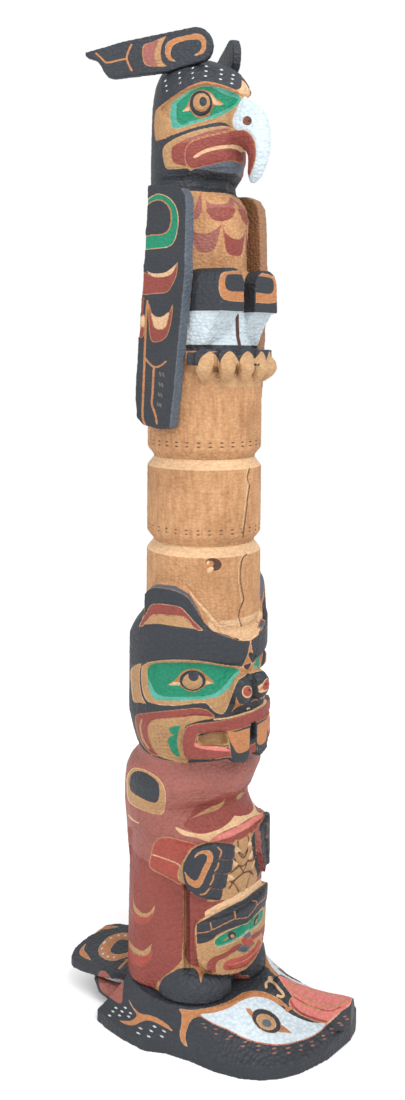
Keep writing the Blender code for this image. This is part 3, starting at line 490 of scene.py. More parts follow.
BODY_FORMS = [
    area("body", "red", [(640, 750), (690, 672), (752, 575), (850, 540), (1000, 462),
                         (1160, 440), (1300, 420), (1200, 600), (1060, 700), (970, 765),
                         (860, 806), (760, 814)], groove=0.2),
    area("body", "ochre", [(148, 320), (186, 256), (240, 244), (330, 274), (420, 335),
                           (470, 420), (482, 520), (468, 620), (430, 650), (340, 630),
                           (240, 592), (162, 532), (146, 420)], edge=("cream", 7)),
    area("body", "black", [(166, 335), (200, 280), (260, 268), (340, 300), (412, 362),
                           (430, 430), (422, 520), (390, 550), (330, 536), (240, 492),
                           (172, 432)], edge=("orange", 4)),
    area("body", "ochre", [(686, 694), (686, 694), (780, 640), (880, 584), (960, 556),
                           (1008, 508), (1008, 508), (985, 570), (930, 610), (850, 634),
                           (770, 660)], groove=0.5),
    line("body", "cream", [(158, 656), (198, 700), (246, 724)], 11),
    area("body", "cream", [(572, 758), (660, 792), (760, 816), (860, 808), (970, 768),
                           (1060, 694), (1112, 600), (1155, 480), (1330, 560), (1400, 620),
                           (1240, 682), (1120, 740), (1000, 790), (900, 846), (860, 884),
                           (760, 852), (650, 832), (596, 800)], groove=0.3),
    area("body", "pink", [(860, 882), (860, 882), (940, 830), (1060, 780), (1180, 715),
                          (1330, 630), (1330, 630), (1290, 700), (1180, 770), (1050, 840),
                          (940, 872)], edge=("orange", 3)),
    area("body", "red", [(925, 877), (925, 877), (1060, 842), (1190, 772), (1300, 690),
                         (1300, 690), (1268, 760), (1212, 822), (1150, 862), (1090, 892),
                         (1000, 888)], groove=0.3),
    area("body", "scarlet", [(383, 905), (440, 856), (520, 850), (640, 880), (750, 912),
                             (690, 960), (645, 1040), (612, 1110), (596, 1160), (620, 1260),
                             (560, 1232), (450, 1172), (368, 1130), (342, 1080), (358, 1000)],
         edge=("ochre", 8)),
    line("body", "cream", [(370, 1000), (450, 1028), (560, 1066), (618, 1102)], 11),
    area("body", "ochre", [(830, 895), (745, 925), (690, 975), (640, 1050), (604, 1110),
                           (588, 1180), (620, 1250), (700, 1330), (760, 1300), (720, 1000)],
         outside=PAW_RADIUS, edge=("cream", 5)),
    area("body", "ochre", [(1080, 895), (1150, 862), (1262, 790), (1300, 700), (1460, 700),
                           (1480, 1130), (1330, 1240), (1100, 1350), (960, 1400),
                           (840, 1400), (990, 1300), (1060, 1150)], groove=0.0),
    *[line("body", "dark", points, 13, groove=2.6) for points in TAIL_CUTS],
    area("body", "cream", [(1092, 925), (1160, 972), (1160, 972), (1095, 985)], groove=0.4),
    area("body", "cream", [(1080, 1052), (1132, 1090), (1132, 1090), (1078, 1105)],
         groove=0.4),
    area("body", "cream", [(1034, 1172), (1092, 1206), (1092, 1206), (1028, 1232)],
         groove=0.4),
    area("body", "black", [(840, 893), (940, 888), (1020, 898), (1097, 912), (1097, 912),
                           (1090, 1000), (1078, 1040), (1076, 1070), (1060, 1152),
                           (1034, 1166), (1030, 1190), (1018, 1282), (992, 1300),
                           (985, 1320), (962, 1394), (880, 1392), (800, 1380), (720, 1340),
                           (660, 1272), (634, 1180), (640, 1080), (690, 980), (760, 920)],
         outside=PAW_RADIUS, lift=0.8),
    line("body", "dark", [(940, 1042), (1010, 1046), (1078, 1046)], 8, groove=1.6,
         outside=PAW_RADIUS),
    line("body", "dark", [(912, 1164), (980, 1168), (1040, 1168)], 8, groove=1.6,
         outside=PAW_RADIUS),
    line("body", "dark", [(870, 1288), (930, 1300), (990, 1302)], 8, groove=1.6,
         outside=PAW_RADIUS),
    area("body", "orange", [(732, 1030), (732, 1030), (768, 980), (840, 960), (884, 980),
                            (897, 1030), (872, 1100), (832, 1180), (802, 1250), (760, 1288),
                            (700, 1264), (668, 1222), (652, 1150), (652, 1150), (690, 1200),
                            (735, 1226), (768, 1210), (810, 1120), (848, 1040), (842, 1004),
                            (810, 988), (770, 1000)], edge=("cream", 4)),
    line("body", "orange", [(938, 934), (970, 972), (956, 1022)], 13),
    line("body", "orange", [(946, 1072), (938, 1105), (914, 1142)], 13),
    line("body", "orange", [(902, 1180), (898, 1215), (872, 1262)], 13),
    line("body", "orange", [(862, 1300), (826, 1340), (785, 1346)], 13),
    # Legs.
    area("legs", "ochre", [(286, 212), (286, 212), (300, 255), (340, 288), (376, 282),
                           (408, 236), (408, 236), (396, 280), (360, 307), (320, 302),
                           (290, 270)], groove=0.4),
    area("legs", "scarlet", [(272, 262), (300, 300), (358, 310), (396, 284), (382, 322),
                             (345, 347), (300, 332)], groove=0.4),
    area("legs", "ochre", [(258, 424), (258, 424), (290, 468), (340, 492), (388, 452),
                           (388, 452), (376, 500), (350, 516), (300, 506), (264, 470)],
         groove=0.4),
    area("legs", "scarlet", [(252, 480), (300, 514), (350, 520), (390, 494), (376, 545),
                             (340, 572), (290, 562), (256, 530)], groove=0.4),
    line("legs", "ochre", [(566, 165), (566, 300), (566, 420), (558, 520)], 16, groove=0.3),
    area("legs", "ochre", [(440, 640), (500, 596), (548, 545), (560, 500), (585, 560),
                           (640, 590), (560, 600), (470, 640)], groove=0.2),
    area("legs", "ochre", [(425, 650), (408, 700), (414, 740), (440, 742), (436, 690)],
         groove=0.2),
    area("legs", "black", [(423, 692), (442, 642), (500, 604), (560, 582), (650, 586),
                           (740, 600), (826, 628), (842, 690), (806, 745), (700, 780),
                           (560, 785), (458, 758), (425, 722)], edge=("ochre", 4)),
    area("legs", "orange", [(585, 566), (585, 566), (636, 604), (654, 674), (654, 674),
                            (668, 616), (712, 600), (650, 586)]),
]

FACE_FORMS = [
    area("face", "ochre", [(243, 952), (420, 862), (600, 770), (760, 690), (885, 600),
                           (1010, 640), (1000, 1100), (900, 1300), (760, 1350), (640, 1402),
                           (480, 1427), (330, 1407), (270, 1340), (248, 1180)],
         edge=("cream", 4)),
    area("face", "cream", [(243, 952), (420, 862), (600, 770), (760, 690), (885, 628),
                           (930, 600), (860, 570), (700, 650), (560, 720), (400, 800),
                           (325, 850), (320, 905)], groove=0.2),
    area("face", "black", [(245, 956), (245, 956), (420, 870), (600, 777), (770, 697),
                           (890, 632), (980, 610), (980, 800), (900, 810), (830, 872),
                           (740, 942), (640, 986), (540, 1012), (440, 1060), (400, 1100),
                           (330, 1132), (248, 1147), (248, 1147)], lift=0.8),
    line("face", "orange", [(250, 1046), (330, 1036), (400, 1010), (500, 960), (600, 916),
                            (700, 902), (780, 872), (850, 800), (910, 712)], 10),
    line("face", "orange", [(372, 950), (384, 1000)], 12),
    line("face", "orange", [(596, 845), (606, 905)], 13),
    area("face", "mint", [(408, 1135), (428, 1090), (500, 1048), (600, 998), (700, 962),
                          (750, 960), (742, 1000), (706, 1044), (640, 1096), (560, 1140),
                          (480, 1172), (422, 1172)], edge=("cream", 8), lift=-0.8),
    area("face", "green", [(414, 1130), (434, 1094), (500, 1054), (600, 1002), (700, 966),
                           (742, 966), (730, 1000), (695, 1030), (630, 1082), (550, 1126),
                           (480, 1154), (428, 1156)], groove=0.0),
    ring("face", "black", (574, 1068), (40, 38), -20, lift=1.5),
    ring("face", "ochre", (578, 1074), (18, 16), edge=("cream", 4)),
    line("face", "orange", [(500, 1112), (540, 1090)], 10),
    area("face", "red", [(338, 1375), (350, 1310), (400, 1268), (500, 1228), (600, 1160),
                         (660, 1140), (680, 1180), (600, 1218), (520, 1270), (446, 1310),
                         (432, 1350), (444, 1404), (380, 1408)], edge=("orange", 5)),
    line("face", "ochre", [(434, 1400), (432, 1350), (450, 1312), (486, 1294)], 16),
    dashes("face", "dark", grid(300, 340, 2, 1200, 1300, 4, shear=2), (6, 4), 0, groove=0.3),
    area("face", "scarlet", [(490, 1345), (540, 1290), (640, 1262), (760, 1212), (830, 1142),
                             (900, 1100), (900, 1180), (835, 1225), (790, 1290), (700, 1352),
                             (600, 1382), (510, 1388)], edge=("orange", 5), lift=1.0),
    line("face", "pink", [(545, 1340), (620, 1320), (720, 1280), (800, 1212), (842, 1150)], 9),
    area("face", "grey", [(620, 1205), (680, 1150), (800, 1150), (820, 1130), (800, 1165),
                          (700, 1216)], groove=0.2),
    area("face", "grey", [(690, 1062), (765, 1012), (860, 1000), (860, 1120), (800, 1150),
                          (745, 1092), (680, 1090)], outside=NOSE_RADIUS, groove=0.2),
    ring("face", "scarlet", (714, 1126), (58, 34), 15, groove=0.4),
]

WING_FORMS = [
    area("wing", "green", [(96, 180), (112, 128), (178, 92), (242, 110), (290, 160),
                           (312, 240), (306, 330), (286, 400), (250, 434), (180, 446),
                           (60, 448), (60, 360), (140, 354), (200, 352), (60, 340)],
         edge=("cream", 6), lift=-1.2),
    area("wing", "black", [(90, 200), (108, 165), (146, 138), (192, 130), (236, 155),
                           (264, 210), (262, 290), (240, 336), (200, 354), (140, 358),
                           (60, 362), (60, 230)], edge=("orange", 7), lift=1.2),
    area("wing", "red", [(60, 605), (150, 626), (222, 622), (272, 590), (308, 538),
                         (308, 538), (300, 620), (270, 690), (236, 732), (170, 740),
                         (60, 738)], edge=("orange", 5), lift=-1.0),
    area("wing", "cream", [(108, 594), (108, 594), (150, 610), (220, 606), (266, 580),
                           (305, 540), (305, 540), (276, 602), (230, 630), (150, 632)],
         groove=0.3),
    area("wing", "red", [(122, 812), (122, 812), (140, 880), (152, 942), (168, 970),
                         (200, 976), (234, 956), (246, 900), (262, 850), (277, 816),
                         (277, 816), (273, 880), (258, 960), (236, 1020), (200, 1050),
                         (150, 1057), (130, 1020), (122, 930)], edge=("orange", 5)),
    area("wing", "cream", [(134, 868), (165, 892), (210, 892), (252, 864), (242, 920),
                           (226, 960), (190, 976), (155, 960), (142, 912)], edge=("orange", 4),
         lift=-1.0),
    line("wing", "orange", [(103, 1172), (130, 1204), (160, 1222), (196, 1214), (232, 1186)],
         11),
    line("wing", "orange", [(155, 1222), (150, 1300), (145, 1400), (140, 1460), (152, 1500),
                            (165, 1540), (174, 1592)], 13),
    dashes("wing", "grey", [(196, 1268), (216, 1272), (191, 1335), (209, 1340), (186, 1400),
                            (204, 1406), (180, 1464), (197, 1470)], (5, 14), -15),
    line("wing", "orange", [(112, 790), (103, 900), (97, 1050), (92, 1200), (84, 1400),
                            (80, 1500), (82, 1560), (98, 1606)], 13),
    area("wing", "cream", [(70, 895), (92, 885), (90, 960), (66, 965)], edge=("orange", 3)),
    area("wing", "red", [(66, 968), (88, 962), (82, 1022), (58, 1022)], edge=("orange", 3)),
    line("wing", "red", [(86, 770), (80, 830), (78, 885)], 10),
]

HORN_FORMS = [
    area("crown", "orange", [(720, 415), (720, 415), (680, 410), (655, 380), (649, 330),
                             (665, 290), (712, 262), (780, 245), (850, 231), (892, 235),
                             (922, 265), (927, 310), (915, 350), (885, 370), (846, 376),
                             (846, 376), (884, 350), (899, 320), (895, 288), (870, 268),
                             (800, 272), (742, 286), (702, 310), (687, 340), (682, 370),
                             (692, 394)], edge=("cream", 3)),
    area("crown", "ochre", [(505, 305), (560, 285), (655, 246), (655, 246), (625, 300),
                            (616, 350), (618, 395), (632, 430), (655, 450), (560, 450),
                            (520, 442), (499, 410), (495, 345)], edge=("orange", 4),
         lift=-0.8),
    area("crown", "rose", [(507, 310), (545, 290), (604, 272), (582, 330), (576, 390),
                           (596, 446), (530, 442), (503, 412), (497, 350)],
         groove=0.3),
    dashes("crown", "dark", grid(600, 622, 2, 290, 430, 9), (11, 1.6), -8, groove=0.3),
    line("crown", "orange", [(418, 303), (400, 345), (386, 392), (400, 440), (421, 480)], 12),
    line("crown", "orange", [(386, 400), (330, 410), (250, 426), (214, 396), (176, 362)], 11),
]

BASE_FORMS = [
    dashes("fin", "white", [(485, 938), (567, 938), (460, 970), (538, 970), (612, 985),
                            (430, 1005), (517, 1005), (597, 1015)], (16, 7), 25),
    dashes("fin", "white", [(822, 1103), (700, 1118), (793, 1140), (905, 1142), (680, 1160),
                            (770, 1187), (885, 1187)], (20, 7), 27),
    area("fin", "orange", [(596, 866), (596, 866), (640, 940), (700, 990), (780, 1005),
                           (860, 1038), (930, 1085), (982, 1145), (982, 1145), (900, 1102),
                           (830, 1066), (760, 1047), (700, 1062), (650, 1087), (590, 1087),
                           (505, 1048), (505, 1048), (600, 1055), (650, 1032), (668, 1000),
                           (650, 968), (620, 920)], edge=("cream", 3)),
    area("legs", "orange", [(538, 806), (600, 813), (700, 797), (800, 765), (880, 718),
                            (950, 706), (1020, 722), (1085, 758), (1130, 800), (1130, 800),
                            (1060, 770), (1000, 744), (930, 744), (860, 774), (780, 808),
                            (700, 832), (640, 846), (604, 862), (582, 900), (568, 950),
                            (576, 1000), (594, 1018), (594, 1018), (555, 990), (540, 940),
                            (550, 880), (549, 830)], edge=("cream", 3)),
    area("legs", "white", [(648, 838), (720, 826), (800, 801), (880, 757), (950, 737),
                           (1010, 746), (1060, 771), (1110, 810), (1140, 832), (1200, 861),
                           (1260, 880), (1336, 884), (1336, 884), (1290, 927), (1220, 963),
                           (1100, 992), (1000, 987), (900, 962), (800, 913), (720, 880)],
         lift=-1.0),
    line("legs", "pink", [(648, 840), (720, 884), (800, 918), (900, 968), (1000, 993),
                          (1100, 998), (1220, 968), (1290, 932), (1338, 888)], 6),
    line("legs", "cream", [(1338, 886), (1420, 806), (1464, 742), (1480, 720)], 8),
    area("nose", "orange", [(262, 705), (262, 705), (330, 722), (350, 800), (310, 775)]),
    area("nose", "orange", [(765, 972), (765, 972), (680, 905), (640, 885), (620, 955),
                            (690, 962)]),
    ring("nose", "black", (488, 842), (168, 106), 33, edge=("orange", 6), lift=1.5,
         bevel=4.0),
    ring("nose", "ochre", (484, 856), (108, 70), 30, edge=("cream", 8)),
    ring("nose", "grey", (490, 868), (52, 38), 25),
    line("nose", "cream", [(484, 490), (482, 448), (520, 424), (566, 452), (612, 505),
                           (652, 550), (664, 582), (640, 594), (604, 578)], 26),
    area("nose", "pink", [(590, 345), (605, 300), (700, 300), (800, 380), (900, 450),
                          (1050, 540), (1200, 560), (1400, 540), (1380, 620), (1345, 690),
                          (1250, 756), (1112, 872), (1112, 872), (1000, 852), (860, 794),
                          (780, 742), (722, 680), (735, 608), (762, 600), (700, 510),
                          (640, 425)], edge=("cream", 6)),
    line("nose", "scarlet", [(738, 640), (775, 700), (860, 770), (1000, 824), (1110, 856)], 24,
         groove=0.3),
    line("nose", "scarlet", [(770, 590), (880, 660), (1000, 710), (1150, 740), (1260, 700)],
         18, groove=0.3),
    line("nose", "ochre", [(690, 380), (760, 500), (900, 600), (1100, 680), (1250, 668),
                           (1330, 622)], 14),
    line("nose", "ochre", [(842, 664), (920, 690), (1060, 740)], 15),
    area("nose", "orange", [(688, 694), (740, 712), (778, 722), (730, 732), (694, 752)]),
    dashes("nose", "rose", [(110, 1005), (75, 1035), (265, 1065), (240, 1108), (405, 1105),
                            (400, 1148), (568, 1132), (568, 1180), (712, 1127), (720, 1177),
                            (848, 1100), (845, 1146), (960, 1060), (972, 1102), (1080, 1000),
                            (1092, 1034), (1165, 930), (1182, 970), (1248, 868), (1272, 892),
                            (1310, 800), (1335, 830)], (24, 8), -8),
    dashes("legs", "rose", [(665, 885), (676, 906), (735, 915), (737, 940)], (12, 4), 5),
    area("fin", "orange", [(620, 225), (520, 264), (440, 310), (370, 370), (338, 425),
                           (352, 484), (410, 516), (480, 522), (540, 504), (620, 475),
                           (620, 445), (540, 470), (482, 472), (440, 452), (440, 420),
                           (480, 368), (540, 312), (620, 272)], edge=("cream", 5)),
    dashes("fin", "white", [(365, 420), (380, 375), (425, 335), (470, 305), (520, 280),
                            (375, 465), (415, 490), (470, 496)], (11, 7), -30),
    area("fin", "orange", [(224, 378), (224, 378), (178, 430), (178, 472), (220, 502),
                           (266, 518), (266, 518), (236, 470), (206, 430)],
         edge=("cream", 4)),
    line("fin", "orange", [(582, 520), (545, 562), (515, 592)], 18),
    area("fin", "rose", [(336, 640), (380, 616), (424, 650), (450, 682), (545, 690),
                         (545, 790), (530, 900), (440, 852), (368, 800), (342, 740)],
         groove=0.0),
]


def seen_points(points):
    """Picture coordinates of world points on the figure's right side."""
    forward = -points[:, 1]
    right = -points[:, 0]
    across = forward * math.sin(CAMERA_BEARING) - right * math.cos(CAMERA_BEARING)
    toward = forward * math.cos(CAMERA_BEARING) + right * math.sin(CAMERA_BEARING)
    depth = CAMERA_DISTANCE - toward
    u = across * FOCAL_POINTS / depth
    v = (CAMERA_HEIGHT - points[:, 2]) * FOCAL_POINTS / depth
    c = math.cos(CAMERA_ROLL)
    s = math.sin(CAMERA_ROLL)
    return np.stack([AXIS_POINT[0] + u * c - v * s, AXIS_POINT[1] + u * s + v * c], axis=1)


def smooth_curve(points, closed, steps=4):
    """Catmull-Rom curve through the points."""
    p = np.array(points, float)
    if closed:
        before, after, last = np.roll(p, 1, 0), np.roll(p, -1, 0), np.roll(p, -2, 0)
        spans = list(zip(before, p, after, last))
    else:
        p = np.vstack([2 * p[0] - p[1], p, 2 * p[-1] - p[-2]])
        spans = [(p[i], p[i + 1], p[i + 2], p[i + 3]) for i in range(len(p) - 3)]
    made = []
    for a, b, c, d in spans:
        if np.allclose(b, c):
            continue
        for k in range(steps):
            t = k / steps
            made.append(0.5 * (2 * b + (c - a) * t + (2 * a - 5 * b + 4 * c - d) * t * t
                               + (3 * b - a - 3 * c + d) * t ** 3))
    if not closed:
        made.append(np.array(points[-1], float))
    return np.array(made)


def curve_distance(places, curve, closed):
    """Distance from each place to the curve, and whether the closed curve holds it."""
    start = curve if closed else curve[:-1]
    end = np.roll(curve, -1, 0) if closed else curve[1:]
    nearest = np.full(len(places), 1e9)
    inside = np.zeros(len(places), bool)
    for a, b in zip(start, end):
        run = b - a
        share = np.clip(((places - a) @ run) / max(run @ run, 1e-12), 0.0, 1.0)
        gap = places - a - share[:, None] * run
        nearest = np.minimum(nearest, (gap * gap).sum(1))
        if closed and a[1] != b[1]:
            crosses = (a[1] > places[:, 1]) != (b[1] > places[:, 1])
            at_x = a[0] + (places[:, 1] - a[1]) * run[0] / run[1]
            inside ^= crosses & (places[:, 0] < at_x)
    return np.sqrt(nearest), inside


def form_distance(form, places):
    """Distance inside a form's outline, in picture points, and outside it when negative."""
    x0, y0, scale = CLOSE_UPS[form["view"]]
    corner = np.array([x0, y0])
    points = np.array(form["points"], float) / scale + corner
    reach = FAR + form.get("width", 0.0) / scale
    near = np.all((places > points.min(0) - reach) & (places < points.max(0) + reach), axis=1)
    found = np.full(len(places), -FAR)
    if not near.any():
        return found
    here = places[near]
    if form["kind"] == "area":
        gap, inside = curve_distance(here, smooth_curve(points, True), True)
        value = np.where(inside, gap, -gap)
    elif form["kind"] == "line":
        gap, _ = curve_distance(here, smooth_curve(points, False), False)
        value = 0.5 * form["width"] / scale - gap
    else:
        turn = math.radians(form["angle"])
        long, short = form["radii"][0] / scale, form["radii"][1] / scale
        value = np.full(len(here), -FAR)
        for centre in points:
            d = here - centre
            a = (d[:, 0] * math.cos(turn) + d[:, 1] * math.sin(turn)) / long
            b = (d[:, 1] * math.cos(turn) - d[:, 0] * math.sin(turn)) / short
            value = np.maximum(value, (1.0 - np.sqrt(a * a + b * b)) * min(long, short))
    found[near] = np.clip(value, -FAR, FAR)
    return found


class Painter:
    """Collects, per point of a mesh, which paint covers it and how deep it is carved."""

    def __init__(self, points):
        self.covers = {name: np.full(len(points), -FAR) for name in PAINTS}
        self.depth = np.zeros(len(points))

    def cover(self, colour, *limits):
        """Lays one paint where a point is inside all of the limits."""
        inside = np.minimum.reduce(limits)
        for name, value in self.covers.items():
            if name == colour:
                np.maximum(value, inside, out=value)
            else:
                np.minimum(value, -inside, out=value)

    def strip(self, painted):
        """Leaves bare wood where painted is below zero."""
        for value in self.covers.values():
            np.minimum(value, painted, out=value)

    def carve(self, form, inside):
        """Cuts the groove at a form's outline and raises or sinks the form."""
        if form["groove"]:
            self.depth -= form["groove"] * np.exp(-(inside / GROOVE_HALF) ** 2) * MILLIMETRE
        if form["lift"]:
            share = np.clip(inside / form["bevel"], 0.0, 1.0)
            self.depth += form["lift"] * share * (2.0 - share) * MILLIMETRE

    def paint(self, forms, mirrored, plain, radius, limit):
        """Paints forms; limit holds, per point, how far inside the painted side it is."""
        for form in forms:
            places = plain if form["seen"] else mirrored
            inside = np.minimum(form_distance(form, places), limit)
            if form["outside"]:
                inside = np.minimum(inside, (radius - form["outside"]) * POINTS_PER_METRE)
            self.cover(form["colour"], inside)
            if form["edge"]:
                name, width = form["edge"]
                half = 0.5 * width / CLOSE_UPS[form["view"]][2]
                self.cover(name, half - np.abs(inside))
            self.carve(form, inside)


def beyond(values, start, steepness=POINTS_PER_METRE):
    """How far the values lie past a start, in picture points."""
    return np.clip((values - start) * steepness, -FAR, FAR)


def level_band(points, low, high):
    """Distance inside a band of levels, in picture points."""
    return np.minimum(beyond(points[:, 2], low), beyond(-points[:, 2], -high))


def stray(column, row, factors, seed):
    """How far each adze mark strays from its place, as a share of its size."""
    value = np.sin(column * factors[0] + row * factors[1] + seed) * STRAY_SCALE
    return (value - np.floor(value) - 0.5) * MARK_STRAY


def adze_marks(along, up, width, height, depth, seed):
    """Shallow scallops left by an adze, as depths in metres."""
    row = np.floor(up / height)
    best = np.full(len(up), MARK_REACH)
    for dr in (-1, 0, 1):
        r = row + dr
        for dc in (-1, 0, 1):
            c = np.floor(along / width + 0.5 * (r % 2)) + dc
            x = along / width + 0.5 * (r % 2) - (c + 0.5 + stray(c, r, STRAY_ACROSS, seed))
            y = up / height - (r + 0.5 + stray(c, r, STRAY_UP, seed))
            best = np.minimum(best, x * x + y * y)
    return depth * (best - 0.5 * MARK_REACH)


class Fine:
    """A fine quad mesh of a solid, as arrays."""

    def __init__(self, node, voxel, rounds):
        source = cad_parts[node]
        holder = bpy.data.objects.new("holder", source.data.copy())
        bpy.context.scene.collection.objects.link(holder)
        remesh = holder.modifiers.new("voxels", "REMESH")
        remesh.mode = "VOXEL"
        remesh.voxel_size = voxel
        graph = bpy.context.evaluated_depsgraph_get()
        made = bpy.data.meshes.new_from_object(holder.evaluated_get(graph))
        data = holder.data
        bpy.data.objects.remove(holder)
        bpy.data.meshes.remove(data)
        count = len(made.vertices)
        flat = np.empty(count * 3)
        made.vertices.foreach_get("co", flat)
        self.points = flat.reshape(-1, 3)
        loops = np.empty(len(made.loops), np.int32)
        made.loops.foreach_get("vertex_index", loops)
        self.faces = loops.reshape(-1, 4)
        bpy.data.meshes.remove(made)
        for _ in range(rounds):
            self.smooth(SMOOTHING)

    def smooth(self, factor):
        """Moves each point toward the middle of its neighbours."""
        a = self.faces.ravel()
        b = np.roll(self.faces, -1, 1).ravel()
        count = len(self.points)
        weight = np.bincount(a, minlength=count) + np.bincount(b, minlength=count)
        for k in range(3):
            column = self.points[:, k]
            total = np.bincount(a, column[b], count) + np.bincount(b, column[a], count)
            self.points[:, k] += factor * (total / np.maximum(weight, 1) - column)

    def normals(self):
        """Outward directions of the points, each of length 1."""
        p = self.points[self.faces]
        face = np.cross(p[:, 2] - p[:, 0], p[:, 3] - p[:, 1])
        found = np.zeros_like(self.points)
        for k in range(3):
            for corner in range(4):
                found[:, k] += np.bincount(self.faces[:, corner], face[:, k],
                                           len(self.points))
        return found / np.maximum(np.linalg.norm(found, axis=1), 1e-12)[:, None]

    def piece(self, name, covers, low=-BEYOND_ENDS, high=BEYOND_ENDS):
        """An object from the faces between two levels, closed where it is cut."""
        middle = self.points[self.faces][:, :, 2].mean(1)
        faces = self.faces[(middle >= low) & (middle < high)]
        used = np.unique(faces)
        order = np.full(len(self.points), -1)
        order[used] = np.arange(len(used))
        faces = order[faces]
        caps = self.caps(faces, len(used))
        corners = np.concatenate([faces.ravel()] + [np.array(cap) for cap in caps])
        sizes = np.concatenate([np.full(len(faces), 4), [len(cap) for cap in caps]])
        mesh = bpy.data.meshes.new(name)
        mesh.vertices.add(len(used))
        mesh.vertices.foreach_set("co", self.points[used].ravel().astype(np.float32))
        mesh.loops.add(len(corners))
        mesh.loops.foreach_set("vertex_index", corners.astype(np.int32))
        mesh.polygons.add(len(sizes))
        starts = np.concatenate([[0], np.cumsum(sizes)[:-1]])
        mesh.polygons.foreach_set("loop_start", starts.astype(np.int32))
        smooth = np.ones(len(sizes), bool)
        smooth[len(faces):] = False
        mesh.polygons.foreach_set("use_smooth", smooth)
        mesh.update(calc_edges=True)
        mesh.validate()
        for colour, value in covers.items():
            layer = mesh.attributes.new(colour, "FLOAT", "POINT")
            layer.data.foreach_set("value", value[used].astype(np.float32))
        made = bpy.data.objects.new(name, mesh)
        bpy.context.scene.collection.objects.link(made)
        return made

    @staticmethod
    def caps(faces, count):
        """Loops that close the open rims left by a cut."""
        a = faces.ravel().astype(np.int64)
        b = np.roll(faces, -1, 1).ravel().astype(np.int64)
        there = a * count + b
        back = b * count + a
        open_edges = ~np.isin(there, back)
        following = dict(zip(b[open_edges].tolist(), a[open_edges].tolist()))
        loops = []
        while following:
            first, step = following.popitem()
            loop = [first]
            while step != first and step in following:
                loop.append(step)
                step = following.pop(step)
            if len(loop) > 2:
                loops.append(loop)
        return loops


class Wire:
    """A shader socket that can be added, multiplied and mixed like a number."""

    def __init__(self, tree, socket):
        self.tree = tree
        self.socket = socket

    def node(self, kind, settings=None, inputs=None):
        """A new shader node with its settings and the values or links of its sockets."""
        made = self.tree.nodes.new(kind)
        for key, value in (settings or {}).items():
            setattr(made, key, value)
        for key, value in (inputs or {}).items():
            self.feed(made.inputs[key], value)
        return made

    def feed(self, socket, value):
        """Links a wire to a socket, or sets the socket to a plain value."""
        if isinstance(value, Wire):
            self.tree.links.new(value.socket, socket)
        else:
            socket.default_value = value

    def out(self, node, key=0):
        """One of a node's outputs, as a wire."""
        return Wire(self.tree, node.outputs[key])

    def maths(self, operation, *values):
        """The result of a Math node."""
        inputs = dict(enumerate(values))
        return self.out(self.node("ShaderNodeMath", {"operation": operation}, inputs))

    def __add__(self, other):
        return self.maths("ADD", self, other)

    def __sub__(self, other):
        return self.maths("SUBTRACT", self, other)

    def __mul__(self, other):
        return self.maths("MULTIPLY", self, other)

    def __rsub__(self, other):
        return self.maths("SUBTRACT", other, self)

    __radd__ = __add__
    __rmul__ = __mul__

    def clamped(self):
        """The same value, held between 0 and 1."""
        return self.out(self.node("ShaderNodeClamp", {}, {"Value": self}))

    def mix(self, factor, first, second, blend="MIX"):
        """Two colours mixed by a factor."""
        made = self.node("ShaderNodeMix", {"data_type": "RGBA", "blend_type": blend},
                         {0: factor, 6: first, 7: second})
        return self.out(made, 2)


def linear(colour):
    """Linear colour from daylight values of 0 to 255."""
    parts = []
    for value in colour:
        c = value / 255.0
        parts.append(c / 12.92 if c <= 0.04045 else ((c + 0.055) / 1.055) ** 2.4)
    return (*parts, 1.0)


